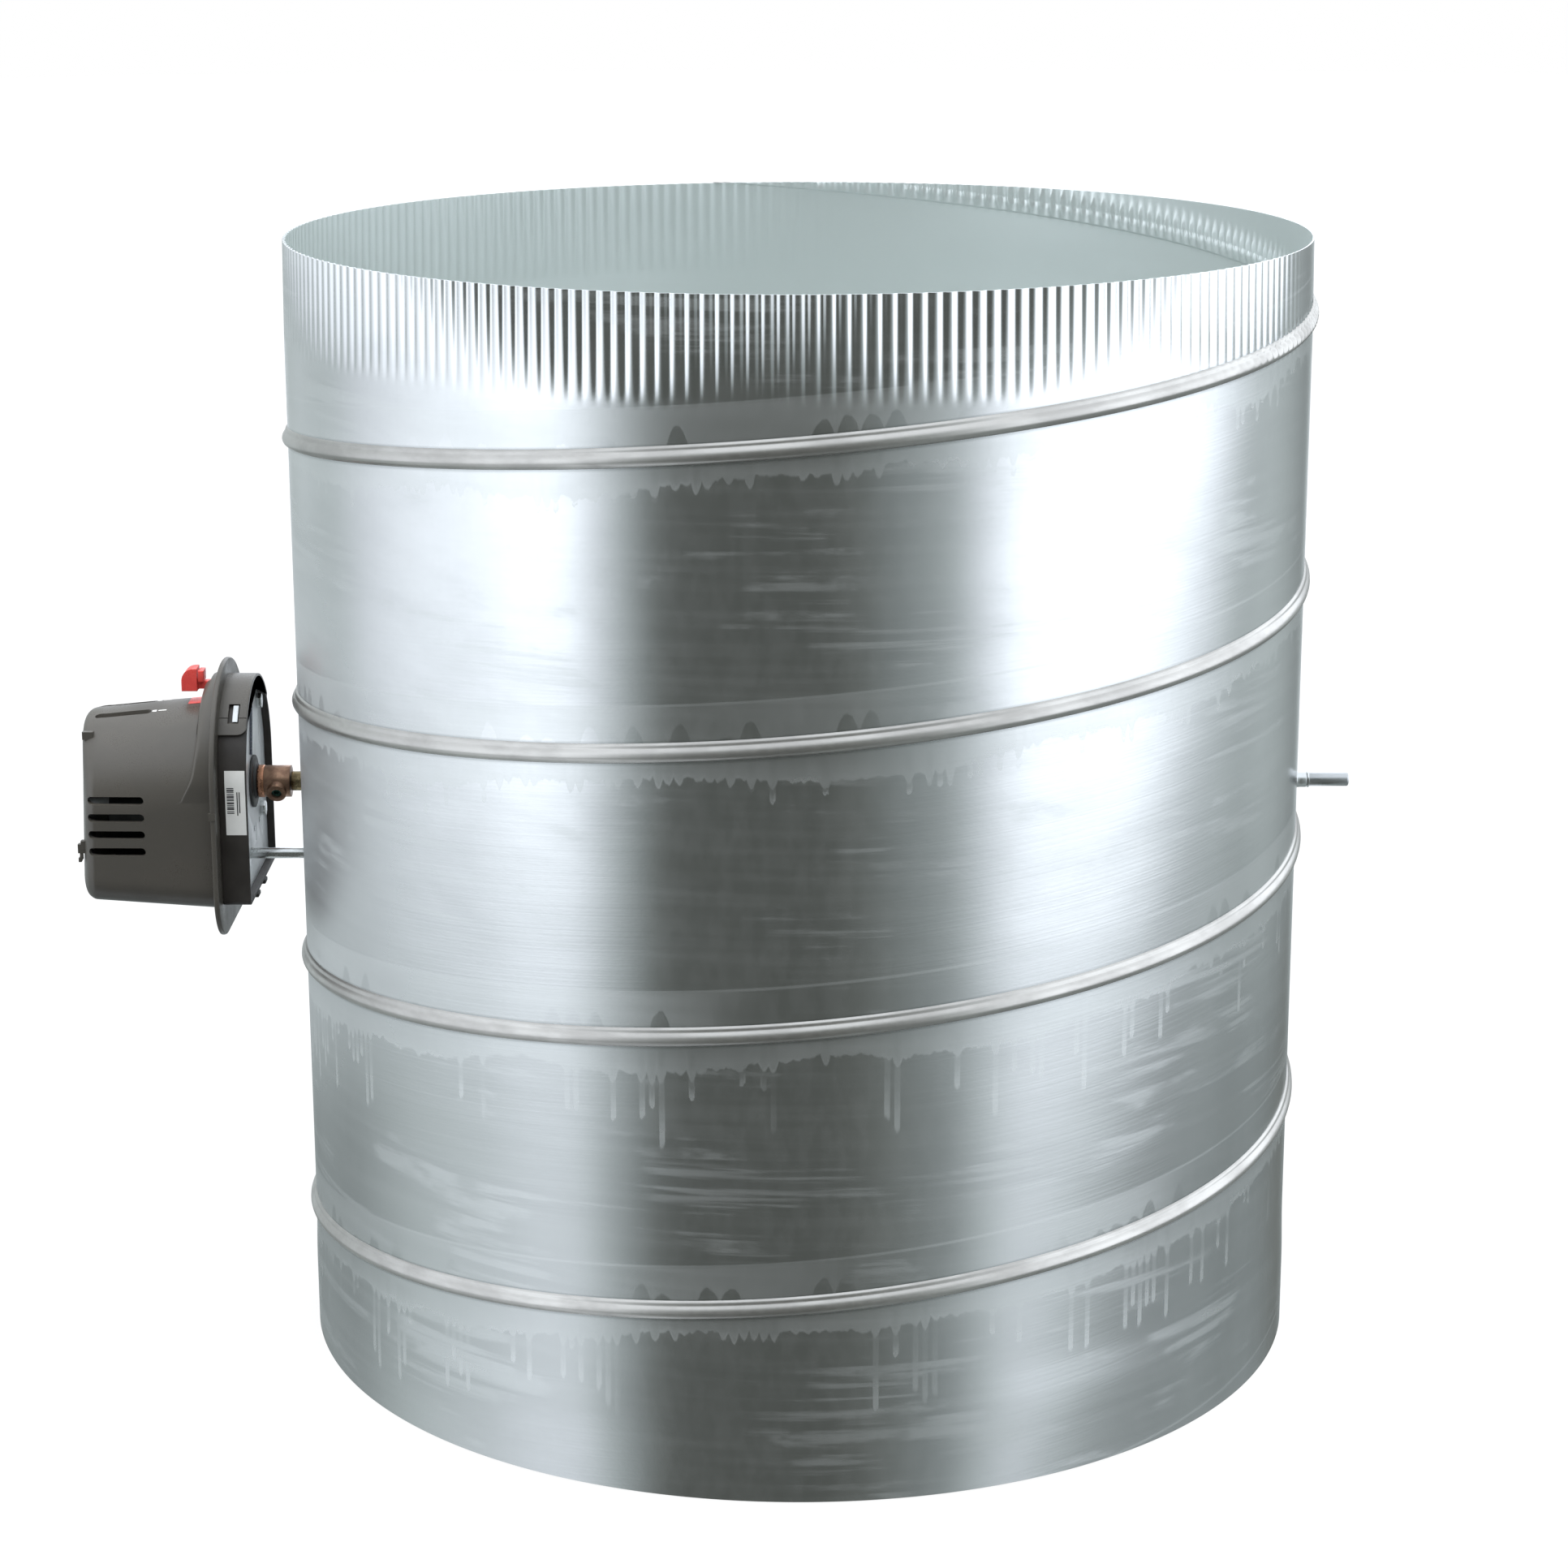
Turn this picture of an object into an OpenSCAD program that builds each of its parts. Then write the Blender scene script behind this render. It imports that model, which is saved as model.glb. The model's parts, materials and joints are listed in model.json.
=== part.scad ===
// Motorized round duct damper with a spring-return actuator on the left.
// The origin is the centre of the plain lower end, and +Z runs along the duct.
// The damper shaft lies along X at half the duct's length. The damper is closed.

/* [Duct] */
// Inside diameter of the duct
duct_bore = 457.2; // [420:0.1:480]
// Length of the duct section
duct_len = 508; // [490:1:600]
// Thickness of the sheet steel
duct_wall = 0.7; // [0.5:0.1:1]
// Length of the belled plain end
bell_len = 44; // [34:1:60]
// How much wider in radius the bell is
bell_step = 0.6; // [0.55:0.05:0.8]
// Length of the crimped end
crimp_len = 42; // [30:1:60]
// How deep the crimps are pressed
crimp_depth = 1.2; // [0.8:0.1:3]
// How much the crimped end narrows in radius
crimp_taper = 0.7; // [0.3:0.1:1]
// Number of crimps in a full turn
crimp_count = 240; // [120:2:240]
// Rise of the spiral seam in one turn
seam_pitch = 120; // [110:1:150]
// Width of the seam's fold
seam_w = 8; // [6:0.5:9]
// How far the seam stands proud
seam_h = 2.6; // [1.8:0.1:3.2]

/* [Damper] */
// Diameter of the damper shaft
shaft_d = 6.35; // [6:0.05:7]
// Gap between the gasket's edge and the bore
blade_gap = 0.8; // [0.6:0.1:2]
// Thickness of the blade
blade_t = 1; // [0.8:0.1:1.5]
// Thickness of the gasket
gasket_t = 2; // [1.5:0.1:3]
// How far the gasket stands out past the blade
gasket_lip = 6; // [4:0.5:9]
// Number of rivets round the gasket
rivet_count = 12; // [8:4:16]
// Length of the free shaft stub past its retaining ring
stub_len = 18.1; // [12:0.1:30]

/* [Bearings] */
// How far the shaft bushes stand out of the wall
bush_proud = 6.4; // [5:0.1:9]
// Diameter of the shaft bushes
bush_d = 9; // [8.6:0.1:10]
// Diameter of the washers on the wall
washer_d = 17.2; // [14:0.1:19]

/* [Hub] */
// Diameter of the hub's collar
collar_d = 14.8; // [14:0.1:17]
// Length of the hub's collar
collar_len = 12; // [11:0.5:16]
// Diameter of the hub inside the housing
spool_d = 12.4; // [12:0.1:13]
// Radius of the boss round the set screw
boss_r = 4.5; // [4:0.1:5.2]

/* [Housing] */
// Half width of the dome at the flange
dome_half = 43; // [42:0.1:45]
// Depth of the dome in front of the flange
dome_depth = 68.4; // [64:0.1:80]
// How far the dome reaches below the shaft
dome_low = 54.5; // [52:0.1:60]
// Thickness of the moulded cover
cover_t = 2; // [1.6:0.1:2.4]
// Half width of the flange
flange_half = 52; // [50:0.1:58]
// Thickness of the flange
flange_t = 2.5; // [2:0.1:4]
// Depth of the rear case behind the flange
case_depth = 12.8; // [12:0.1:15]
// How deep the back plate lies inside the case's rim
plate_recess = 3.3; // [2.4:0.1:3.8]
// Thickness of the back plate
plate_t = 1.2; // [1:0.1:1.5]
// Number of vent slots in each side of the dome
side_slots = 4; // [1:1:4]

/* [Lever and stud] */
// How far the tip of the lever's tab stands out past the dome's half width
lever_rise = 11.5; // [9:0.1:15]
// Width of the lever's tab
tab_w = 9; // [6:0.5:10]
// Diameter of the anti-rotation stud
stud_d = 5; // [4:0.1:6]

/* [Gear train] */
// Module of the output stage
output_module = 0.8; // [0.76:0.01:0.84]
// Module of the middle stage
middle_module = 0.6; // [0.56:0.01:0.64]
// Module of the motor stage
motor_module = 0.5; // [0.48:0.01:0.54]
// Diameter of the motor can as a share of the dome's half width
motor_share = 1.07; // [0.95:0.01:1.1]
// Length of the motor can
motor_len = 39; // [34:0.5:42]

/* [Hidden] */
$fn = 64;

// Named clearances
over = 1;
seat_gap = 0.02;
run_gap = 0.3;
fit_gap = 0.05;
rest_gap = 0.1;

// Duct
duct_r = duct_bore / 2;
duct_r_out = duct_r + duct_wall;
bell_r = duct_r + bell_step;
shaft_z = duct_len / 2;
shaft_r = shaft_d / 2;
hull_fn = 32;

// Crimps: the wall is left smooth where the seam crosses the crimped end
crimp_fade = 20;
crimp_embed = 0.2;
crimp_skin = 0.1;
crimp_gap_start = -36;
crimp_gap_end = 85;
crimp_z = duct_len - crimp_len;

// Seam: its place is set from the shaft, below it on the right
seam_steps = 72;
seam_drop_share = 0.1275;
seam_end_gap = 0.5;
seam_lift = 0.05;
seam_shoulder_share = 0.35;
seam_crown_share = 0.22;
seam_foot = (duct_r_out + seam_lift) / cos(180 / seam_steps) - duct_r_out;

// Bushes, washers and collars, in distances from the duct's axis
bush_r = bush_d / 2;
bush_flange_lip = 3;
bush_flange_r = bush_r + bush_flange_lip;
bush_flange_t = 1.4;
wall_dip = duct_r - sqrt(duct_r * duct_r - bush_flange_r * bush_flange_r);
bush_seat = duct_r - wall_dip - rest_gap;
bush_end = duct_r_out + bush_proud;
washer_r = washer_d / 2;
washer_t = 0.8;
washer_dish = 1.2;
washer_x = duct_r_out + rest_gap;
thrust_r = 6.5;
thrust_len = 5;
thrust_end = bush_seat - bush_flange_t - run_gap;
ring_t = 0.9;
ring_depth = 0.5;
ring_height = 1.475;
ring_r = shaft_r + ring_height;
ring_x = bush_end + run_gap;
stub_chamfer = 0.5;
stub_end = ring_x + ring_t + run_gap + stub_len;

// Blade: depths below the shaft's axis; its sides are cut back at the bushes
gasket_r = duct_r - blade_gap;
blade_r = gasket_r - gasket_lip;
blade_from = shaft_r + seat_gap;
gasket_from = blade_from + blade_t;
ring_from = gasket_from + gasket_t;
ring_sheet = 1;
stack_end = ring_from + ring_sheet;
blade_trim = 5.6;
trim_x = duct_r - blade_trim;
notch_gap = 2;
notch_half = thrust_r + notch_gap;
notch_x = thrust_end - thrust_len - notch_gap;
gasket_band = 22;
rivet_r = 2;
rivet_head_r = 3.6;
rivet_head_t = 1.2;
rivet_edge = 8.8;
rivet_circle = blade_r - rivet_edge;
clamp_wire_r = 1.6;
clamp_reach = shaft_r + seat_gap + clamp_wire_r;
clamp_shares = [-0.62, 0, 0.62];
nut_r = 3.2;
nut_t = 2.4;
clamp_tail = 1.4;
clamp_end = gasket_from + nut_t + clamp_tail;

// Stops, spot welded: one under the blade's near edge, one over its far edge
stop_w = 20;
stop_t = 1.5;
stop_leg = 16;
stop_foot = 12;
stop_dip = duct_r - sqrt(duct_r * duct_r - stop_w * stop_w / 4);
stop_y = duct_r - stop_dip - rest_gap;
stop_low_drop = stack_end + rivet_head_t + run_gap;
stop_high_drop = blade_from - rivet_head_t - run_gap;

// Hub and the stations behind the housing, outwards from the duct's axis
spool_r = spool_d / 2;
collar_r = collar_d / 2;
hub_face = bush_end + run_gap;
collar_end = hub_face + collar_len;
hub_ring_t = 3;
hub_ring_lip = 0.2;
hub_ring_r = collar_r + hub_ring_lip;
hub_ring_end = collar_end + hub_ring_t;
neck_len = 1.3;
neck_r = 8.2;
disc_t = 1.4;
disc_r = 12.2;
neck_x = hub_ring_end + run_gap;
plate_x = neck_x + neck_len + disc_t;
plate_in = plate_x + plate_t;
case_x = plate_x - plate_recess;
flange_x = case_x + case_depth;
flange_front = flange_x + flange_t;
dome_front = flange_front + dome_depth;
boss_x = hub_face + collar_len / 2;
boss_angle = 205;
boss_reach = 9.4;
screw_r = 2.4;
screw_reach = 8.4;
socket_r = 1.5;
socket_depth = 2;

// Layers inside the housing, each one in front of the last
bush_tail = 3;
bush_in = plate_in + bush_tail;
sector_x = bush_in + run_gap;
sector_t = 3.5;
sector_end = sector_x + sector_t;
sector_space = 1.5;
middle_x = sector_end + sector_space;
middle_t = 3;
middle_end = middle_x + middle_t;
middle_space = 1;
motor_gear_x = middle_end + middle_space;
motor_gear_t = 2.5;
motor_gear_end = motor_gear_x + motor_gear_t;
layer_space = 0.8;
lever_x = motor_gear_end + layer_space;
lever_t = 2.7;
lever_end = lever_x + lever_t;
spring_x = lever_end + layer_space;
spring_w = 3;
spring_end = spring_x + spring_w;
front_space = 0.5;
front_plate_x = spring_end + front_space;
front_plate_t = 1.2;
front_plate_end = front_plate_x + front_plate_t;
face_extra = 0.2;

// Outline of the dome, from the flange to the nose
dome_mid_len = 56;
dome_rise = -3;
dome_corner = 12;
side_draft = 1.5;
rise_draft = 5;
low_draft = 3;
nose_inset = 3;
nose_low = 8.5;
crown_r = 135;
slice = 0.1;
dome_root = 1;
case_rise = 7.5;
case_step = 1.8;
case_r = dome_half - case_step;
case_low = 48.5;
case_t = 2;
case_corner = 3;
ledge_t = 1.2;
ledge_w = 2.7;
flange_rise = 5.9;
flange_low = 65;
flange_corner = 24;
shroud_len = 7;
shroud_slope = 6;
shroud_sink = 0.1;
shroud_foot = 4;
shroud_r = dome_half - shroud_sink;
skirt_gap = 0.2;
skirt_share = 0.723;
window_share = 0.826;
window_tall_share = 0.167;
skirt_z = skirt_share * dome_half;
window_z = window_share * dome_half;
window_h = window_tall_share * dome_half;
window_side = 3.7;
window_x = case_x + window_side;
window_w = 5;
plate_gap = 0.2;

// Vent slots
slot_h = 3;
slot_pitch = 8;
slot_z = 1.5;
slot_side_gap = 32;
slot_start = flange_front + slot_side_gap;
slot_len = 25.4;
top_slot_y = 8.5;
top_slot_w = 3.2;
top_slot_z = 10;

// Lever and the slots that it sweeps through
lever_hub_r = 10;
lever_reach = dome_half + lever_rise;
arm_w = 5;
stem_w = 4;
stem_lift = 1.6;
stem_h = 3.6;
stem_low = dome_half + stem_lift;
stem_high = stem_low + stem_h;
tab_lift = 1;
tab_low = dome_half + tab_lift;
tab_space = 3.8;
tab_x = lever_end + tab_space;
tab_len = 7;
rear_tab_space = 0.7;
rear_tab_x = lever_end + rear_tab_space;
rear_tab_len = 2.4;
rear_tab_lift = 0.1;
rear_tab_low = stem_high + rear_tab_lift;
rear_tab_w = 8;
tab_bridge = 1.2;
sweep_gap = 0.6;
sweep_low = tab_low - sweep_gap;
sweep_margin = 7.5;
arm_slot_drop = 9;
arm_slot_low = dome_half - arm_slot_drop;
slot_side = 0.5;

// Rear details, as places across and above the shaft axis
stud_r = stud_d / 2;
stud_y = -14;
stud_z = -30.8;
stud_nut_r = 4.4;
stud_nut_t = 2.4;
stud_tail = 1.2;
stud_wall_gap = 0.4;
screw_shares = [[0.488, 0.779], [0.477, -0.43]];
screw_places = screw_shares * dome_half;
plate_screw_r = 1.6;
plate_screw_len = 5;
hex_r = 3.6;
hex_t = 2.6;
slit_w = 2;
slit_places = [[23, 11], [3, -30]];
slit_lens = [12.5, 9];
clip_places = [5, -17];
clip_w = 7;
clip_t = 2;
clip_proud = 0.5;
clip_len = 4.5;
hook_angles = [116, 196];
hook_half = 2.5;
hook_len = 4;
hook_lift = 1.5;
hook_reach = dome_half - side_draft + hook_lift;
label_t = 0.15;
label_side = 0.6;
label_len = 9.2;
label_top = 15.4;
label_h = 30;
latch_t = 1.4;
latch_w = 2.6;
latch_margin = 0.5;
wire_r = 0.6;
wire_top_y = 2;
wire_top = [wire_top_y, dome_half];
wire_foot = [-6, 14];
grommet_side = 11.5;
grommet_x = flange_front + grommet_side;
grommet_low = dome_low - low_draft * grommet_side / dome_mid_len;
grommet_y = -16;
grommet_r = 5.8;
grommet_neck_r = 4.8;
grommet_bore_r = 3.2;
grommet_proud = 2.4;
grommet_lift = rest_gap + low_draft * grommet_r / dome_mid_len;

// Gears: tooth counts, centres and pressure angle
pressure = 20;
sector_teeth = 45;
sector_from = -4;
sector_to = 13;
pinion_teeth = 12;
middle_teeth = 40;
motor_teeth = 48;
wheel_tip_share = 0.85;
pinion_tip_share = 1;
root_share = 1.25;
backlash = 0.16;
second_r = output_module * (sector_teeth + pinion_teeth) / 2;
second_at = [0, -second_r];
first_r = middle_module * (middle_teeth + pinion_teeth) / 2;
first_at = second_at + [first_r, 0];
rotor_r = motor_module * (motor_teeth + pinion_teeth) / 2;
rotor_dir = 143.4;
rotor_at = first_at + rotor_r * [cos(rotor_dir), sin(rotor_dir)];
arbor_r = 1.2;
arbor_tail = 0.3;
wheel_hub_r = 2.5;
sector_hub_r = 9;
web_hole_share = 0.125;
web_place_share = 0.5;

// Works
frame_space = 10;
frame_r = dome_half - frame_space;
frame_rise = 1;
frame_low = 42;
frame_corner = 5;
pillar_r = 2.5;
pillar_shares = [[-0.628, 0.465], [-0.651, -0.767], [-0.279, 0.64]];
pillar_offset = [13.4, -10.2];
pillar_places = concat(pillar_shares * dome_half, [first_at + pillar_offset]);
pivot_r = 4;
rotor_shaft_r = 1;
can_t = 0.8;
rotor_core_share = 0.279;
rotor_core_r = rotor_core_share * dome_half;
rotor_core_gap = 4;
rotor_core_len = 26;
coil_in = 1;
coil_out = 0.4;
coil_margin = 2.4;
spring_t = 0.4;
spring_turns = 5;
spring_step = 20;
spring_grow = 1;
spring_r = spool_r + run_gap + spring_t / 2;
spring_out = spring_r + spring_turns * spring_grow + spring_t / 2;
spring_dir = 140;
post_r = 1.3;
cam_r = 8.5;
cam_lobe_r = 11;
cam_half = 25;
cam_dir = 150;
switch_share = 0.372;
switch_edge = -17;
switch_low = -8;
switch_size = [switch_share * dome_half, 20];
switch_at = [switch_edge - switch_size[0], switch_low];
switch_t = 3.1;
switch_gap = 0.3;
switch_pin_r = 1.5;
switch_pin_in = 4;
switch_pins = [
    switch_at + [switch_pin_in, switch_pin_in],
    switch_at + switch_size - [switch_pin_in, switch_pin_in]
];
leaf_t = 0.5;
leaf_len = 5;
leaf_w = 2;
leaf_z = [1.5, 3];
leaf_root = switch_edge;
motor_d = motor_share * dome_half;
board_space = 4.85;
board_z = rotor_at[1] + motor_d / 2 + board_space;
board_t = 1.6;
board_share = 0.628;
board_half = board_share * dome_half;
board_start = 4;
board_len = 35;
post_side = 7;
post_half = board_half - post_side;
board_post_r = 2.5;
board_post_len = 41;
block_len = 10;
block_shares = [0.535, 0.2];
block_size = [block_len, block_shares[0] * dome_half, block_shares[1] * dome_half];
block_start = 14;
block_y_share = -0.2;
block_at = [block_start, block_y_share * dome_half];
block_pitch_share = 0.3;
block_pitch = block_pitch_share * block_size[1];
block_hole_r = 1.8;
block_screw_r = 1.7;
block_screw_h = 3;
block_pocket = 3.4;
cap_r = 5;
cap_h_share = 0.24;
cap_h = cap_h_share * dome_half;
cap_start = 26;
cap_y_share = 0.2;
cap_at = [cap_start, cap_y_share * dome_half];

// A round rod along X at stations counted outwards on the actuator's side
module out_rod(s0, s1, r, y = 0, z = 0) {
    translate([-s1, y, shaft_z + z]) rotate([0, 90, 0]) cylinder(r = r, h = s1 - s0);
}

// A flat outline in the plane across X, thickened between two stations
module out_slab(s0, s1) {
    translate([-s1, 0, shaft_z]) rotate([90, 0, 90]) linear_extrude(s1 - s0) children();
}

// A block between two stations
module out_box(s0, s1, y, z, size_y, size_z) {
    translate([-s1, y, shaft_z + z]) cube([s1 - s0, size_y, size_z]);
}

// A rod that points away from the shaft axis at an angle from +Y
module radial_rod(s, angle, from, to, r, sides = 64) {
    translate([-s, 0, shaft_z]) rotate([angle - 90, 0, 0])
        translate([0, 0, from]) cylinder(r = r, h = to - from, $fn = sides);
}

// Arched outline: a half circle above, straight sides and rounded lower corners
module arch(r, rise, low, corner) {
    intersection() {
        translate([0, rise]) circle(r);
        translate([-r, rise - over]) square([2 * r, r + over]);
    }
    translate([-r, corner - low]) square([2 * r, rise + low - corner]);
    translate([corner - r, -low]) square([2 * (r - corner), rise + low]);
    for (side = [-1, 1])
        translate([side * (r - corner), corner - low]) circle(corner);
}

// A slice of an arched solid, used to blend between stations
module arch_slice(s, r, rise, low, corner) {
    out_slab(s, s + slice) arch(r, rise, low, corner, $fn = hull_fn);
}

// A sector of the plane across X
module sector_area(from, to, reach) {
    middle = (from + to) / 2;
    polygon([
        [0, 0],
        reach * [cos(from), sin(from)],
        reach * [cos((from + middle) / 2), sin((from + middle) / 2)],
        reach * [cos(middle), sin(middle)],
        reach * [cos((middle + to) / 2), sin((middle + to) / 2)],
        reach * [cos(to), sin(to)]
    ]);
}

// Faces of a swept skin with n rings of m points
function skin_faces(n, m, closed) = [
    for (j = [0 : 1 : closed ? n - 1 : n - 2]) for (k = [0 : 1 : m - 1])
        [j * m + k, j * m + (k + 1) % m, ((j + 1) % n) * m + (k + 1) % m, ((j + 1) % n) * m + k]
];

// Involute gear outline, with a tooth centred on the angle start
function involute(a) = tan(a) * 180 / PI - a;
function flank(r, base_r, half) =
    half + involute(pressure) - involute(acos(min(1, base_r / r)));
function tooth_radii(root_r, base_r, tip_r) =
    let (foot = max(root_r, base_r)) [root_r, foot, (foot + tip_r) / 2, tip_r];
function gear_points(teeth, pitch_m, tip_share, start, from, to) =
    let (
        pitch_r = pitch_m * teeth / 2,
        base_r = pitch_r * cos(pressure),
        root_r = pitch_r - root_share * pitch_m,
        tip_r = pitch_r + tip_share * pitch_m,
        half = 90 / teeth - backlash / 2 / pitch_r * 90 / PI,
        radii = tooth_radii(root_r, base_r, tip_r)
    ) [
        for (i = [from : 1 : to]) let (middle = start + i * 360 / teeth)
            each [
                for (r = radii) let (a = middle - flank(max(r, base_r), base_r, half))
                    r * [cos(a), sin(a)],
                for (k = [3 : -1 : 0]) let (a = middle + flank(max(radii[k], base_r), base_r, half))
                    radii[k] * [cos(a), sin(a)]
            ]
    ];
module gear(teeth, pitch_m, tip_share, start) {
    polygon(gear_points(teeth, pitch_m, tip_share, start, 0, teeth - 1));
}

// Duct wall: belled plain end, straight wall and crimped end
module wall_ring(r, z0, z1) {
    translate([0, 0, z0]) difference() {
        cylinder(r = r + duct_wall, h = z1 - z0, $fn = 256);
        translate([0, 0, -over]) cylinder(r = r, h = z1 - z0 + 2 * over, $fn = 256);
    }
}

function crimped(a) =
    let (t = a > 180 ? a - 360 : a) (t > crimp_gap_start && t < crimp_gap_end) ? 0 : 1;

module crimped_end() {
    n = 2 * crimp_count;
    zs = [crimp_z - crimp_embed, crimp_z + crimp_fade, duct_len];
    depths = [0, crimp_depth, crimp_depth];
    tapers = [0, 0, crimp_taper];
    loop = [0, 1, 2, 2, 1, 0];
    radii = [duct_r_out - crimp_skin, duct_r + crimp_skin];
    swept = [
        for (j = [0 : n - 1])
            let (a = j * 360 / n, on = crimped(a))
            for (k = [0 : 5])
                let (push = on * ((j % 2) * depths[loop[k]] + tapers[loop[k]]))
                let (r = radii[k < 3 ? 0 : 1] - push)
                [r * cos(a), r * sin(a), zs[loop[k]]]
    ];
    polyhedron(swept, skin_faces(n, 6, true), convexity = 8);
}

module duct_shell() {
    color([0.76, 0.79, 0.8]) difference() {
        union() {
            wall_ring(bell_r, 0, bell_len);
            wall_ring(duct_r, bell_len - duct_wall, crimp_z);
            crimped_end();
        }
        out_rod(-duct_r_out - over, duct_r_out + over, bush_r + rest_gap);
        out_rod(duct_r - 2 * blade_trim, duct_r_out + over, stud_r + rest_gap, stud_y, stud_z);
    }
}

module spiral_lock_seam() {
    z_low = seam_w / 2 + seam_end_gap;
    z_high = duct_len - seam_w / 2 - seam_end_gap;
    start = (z_low - shaft_z + seam_drop_share * seam_pitch) * 360 / seam_pitch;
    sweep = (z_high - z_low) * 360 / seam_pitch;
    n = ceil(sweep / 360 * seam_steps);
    shoulder = seam_shoulder_share * seam_h;
    section = [
        [seam_foot, -seam_w / 2],
        [seam_h - shoulder, -seam_w / 2 + shoulder],
        [seam_h, -seam_crown_share * seam_w],
        [seam_h - shoulder / 2, seam_crown_share * seam_w],
        [seam_foot, seam_w / 2]
    ];
    m = len(section);
    points = [
        for (j = [0 : n]) let (a = start + j * sweep / n, z = z_low + j * (z_high - z_low) / n)
            let (r = duct_r_out + (z < bell_len + seam_w ? bell_step : 0))
            for (p = section) [(r + p[0]) * cos(a), (r + p[0]) * sin(a), z + p[1]]
    ];
    faces = concat(
        skin_faces(n + 1, m, false),
        [[for (k = [m - 1 : -1 : 0]) k]],
        [[for (k = [0 : m - 1]) n * m + k]]
    );
    color([0.7, 0.72, 0.72]) polyhedron(points, faces, convexity = 8);
}

// Flanged bush on the actuator's side; the other one mirrors it
module bush() {
    color([0.72, 0.58, 0.32]) difference() {
        union() {
            out_rod(bush_seat - bush_flange_t, bush_seat, bush_flange_r);
            out_rod(bush_seat - bush_flange_t, bush_end, bush_r);
        }
        out_rod(bush_seat - over - bush_flange_t, bush_end + over, shaft_r + fit_gap);
    }
}

module shaft_bush_left() {
    bush();
}

module shaft_bush_right() {
    mirror([1, 0, 0]) bush();
}

// Thin dished washer that lies on the wall
module wall_washer() {
    color([0.2, 0.21, 0.22])
        translate([-washer_x, 0, shaft_z]) rotate([0, -90, 0]) rotate_extrude()
            polygon([
                [bush_r + rest_gap, washer_dish - washer_t],
                [washer_r, 0],
                [washer_r, washer_t / 2],
                [bush_r + rest_gap, washer_dish + washer_t / 2]
            ]);
}

module wall_washer_left() {
    wall_washer();
}

module wall_washer_right() {
    mirror([1, 0, 0]) wall_washer();
}

// One stop at the near wall, with its foot at the top; the other one is it turned round
module near_stop(drop) {
    translate([-stop_w / 2, -stop_y, shaft_z - drop - stop_leg]) difference() {
        cube([stop_w, stop_foot, stop_leg]);
        translate([-over, stop_t, -over])
            cube([stop_w + 2 * over, stop_foot + over, stop_leg + over - stop_t]);
    }
}

// Turns what is drawn at the near wall round to the far wall, upside down
module far_side() {
    translate([0, 0, 2 * shaft_z]) rotate([180, 0, 0]) children();
}

module blade_stops() {
    color([0.7, 0.72, 0.74]) {
        near_stop(stop_low_drop);
        far_side() near_stop(-stop_high_drop);
    }
}

module damper_shaft() {
    color([0.74, 0.75, 0.76]) difference() {
        union() {
            out_rod(-stub_end + stub_chamfer, sector_end, shaft_r);
            translate([stub_end - stub_chamfer, 0, shaft_z]) rotate([0, 90, 0])
                cylinder(r1 = shaft_r, r2 = shaft_r - stub_chamfer, h = stub_chamfer);
        }
        difference() {
            out_rod(-ring_x - ring_t, -ring_x, shaft_r + over);
            out_rod(-ring_x - ring_t - over, -ring_x + over, shaft_r - ring_depth);
        }
    }
}

module retaining_ring() {
    groove_gap = seat_gap;
    color([0.85, 0.86, 0.88]) difference() {
        out_rod(-ring_x - ring_t + groove_gap, -ring_x - groove_gap, ring_r);
        out_rod(-ring_x - ring_t - over, -ring_x + over, shaft_r - ring_depth + groove_gap);
    }
}

// A round sheet in the blade's stack, cut back at the bushes
module blade_sheet(from, to, r) {
    translate([0, 0, shaft_z - to]) difference() {
        intersection() {
            cylinder(r = r, h = to - from, $fn = 256);
            translate([-trim_x, -r, 0]) cube([2 * trim_x, 2 * r, to - from]);
        }
        for (side = [-1, 1])
            translate([side * (notch_x + blade_trim) - blade_trim, -notch_half, -over])
                cube([2 * blade_trim, 2 * notch_half, to - from + 2 * over]);
        for (a = rivet_angles())
            translate([rivet_circle * cos(a), rivet_circle * sin(a), -over])
                cylinder(r = rivet_r + fit_gap, h = to - from + 2 * over);
    }
}

function rivet_angles() = [for (i = [0 : rivet_count - 1]) (i + 0.5) * 360 / rivet_count];

module damper_blade() {
    color([0.72, 0.74, 0.75]) difference() {
        blade_sheet(blade_from, gasket_from, blade_r);
        for (share = clamp_shares, side = [-1, 1])
            translate([share * blade_r, side * clamp_reach, shaft_z - clamp_end])
                cylinder(r = clamp_wire_r + fit_gap, h = clamp_end);
    }
}

module edge_band(from, to, r) {
    difference() {
        blade_sheet(from, to, r);
        translate([0, 0, shaft_z - to - over])
            cylinder(r = blade_r - gasket_band, h = to - from + 2 * over, $fn = 256);
    }
}

module blade_gasket() {
    color([0.12, 0.12, 0.13]) edge_band(gasket_from, ring_from, gasket_r);
}

module gasket_ring() {
    color([0.72, 0.74, 0.75]) edge_band(ring_from, stack_end, blade_r);
}

module gasket_rivets() {
    color([0.78, 0.79, 0.8]) for (a = rivet_angles())
        translate([rivet_circle * cos(a), rivet_circle * sin(a), shaft_z - stack_end - rivet_head_t]) {
            cylinder(r = rivet_head_r, h = rivet_head_t);
            cylinder(r = rivet_r, h = stack_end - blade_from + 2 * rivet_head_t);
            translate([0, 0, stack_end - blade_from + rivet_head_t])
                cylinder(r = rivet_head_r, h = rivet_head_t);
        }
}

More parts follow.
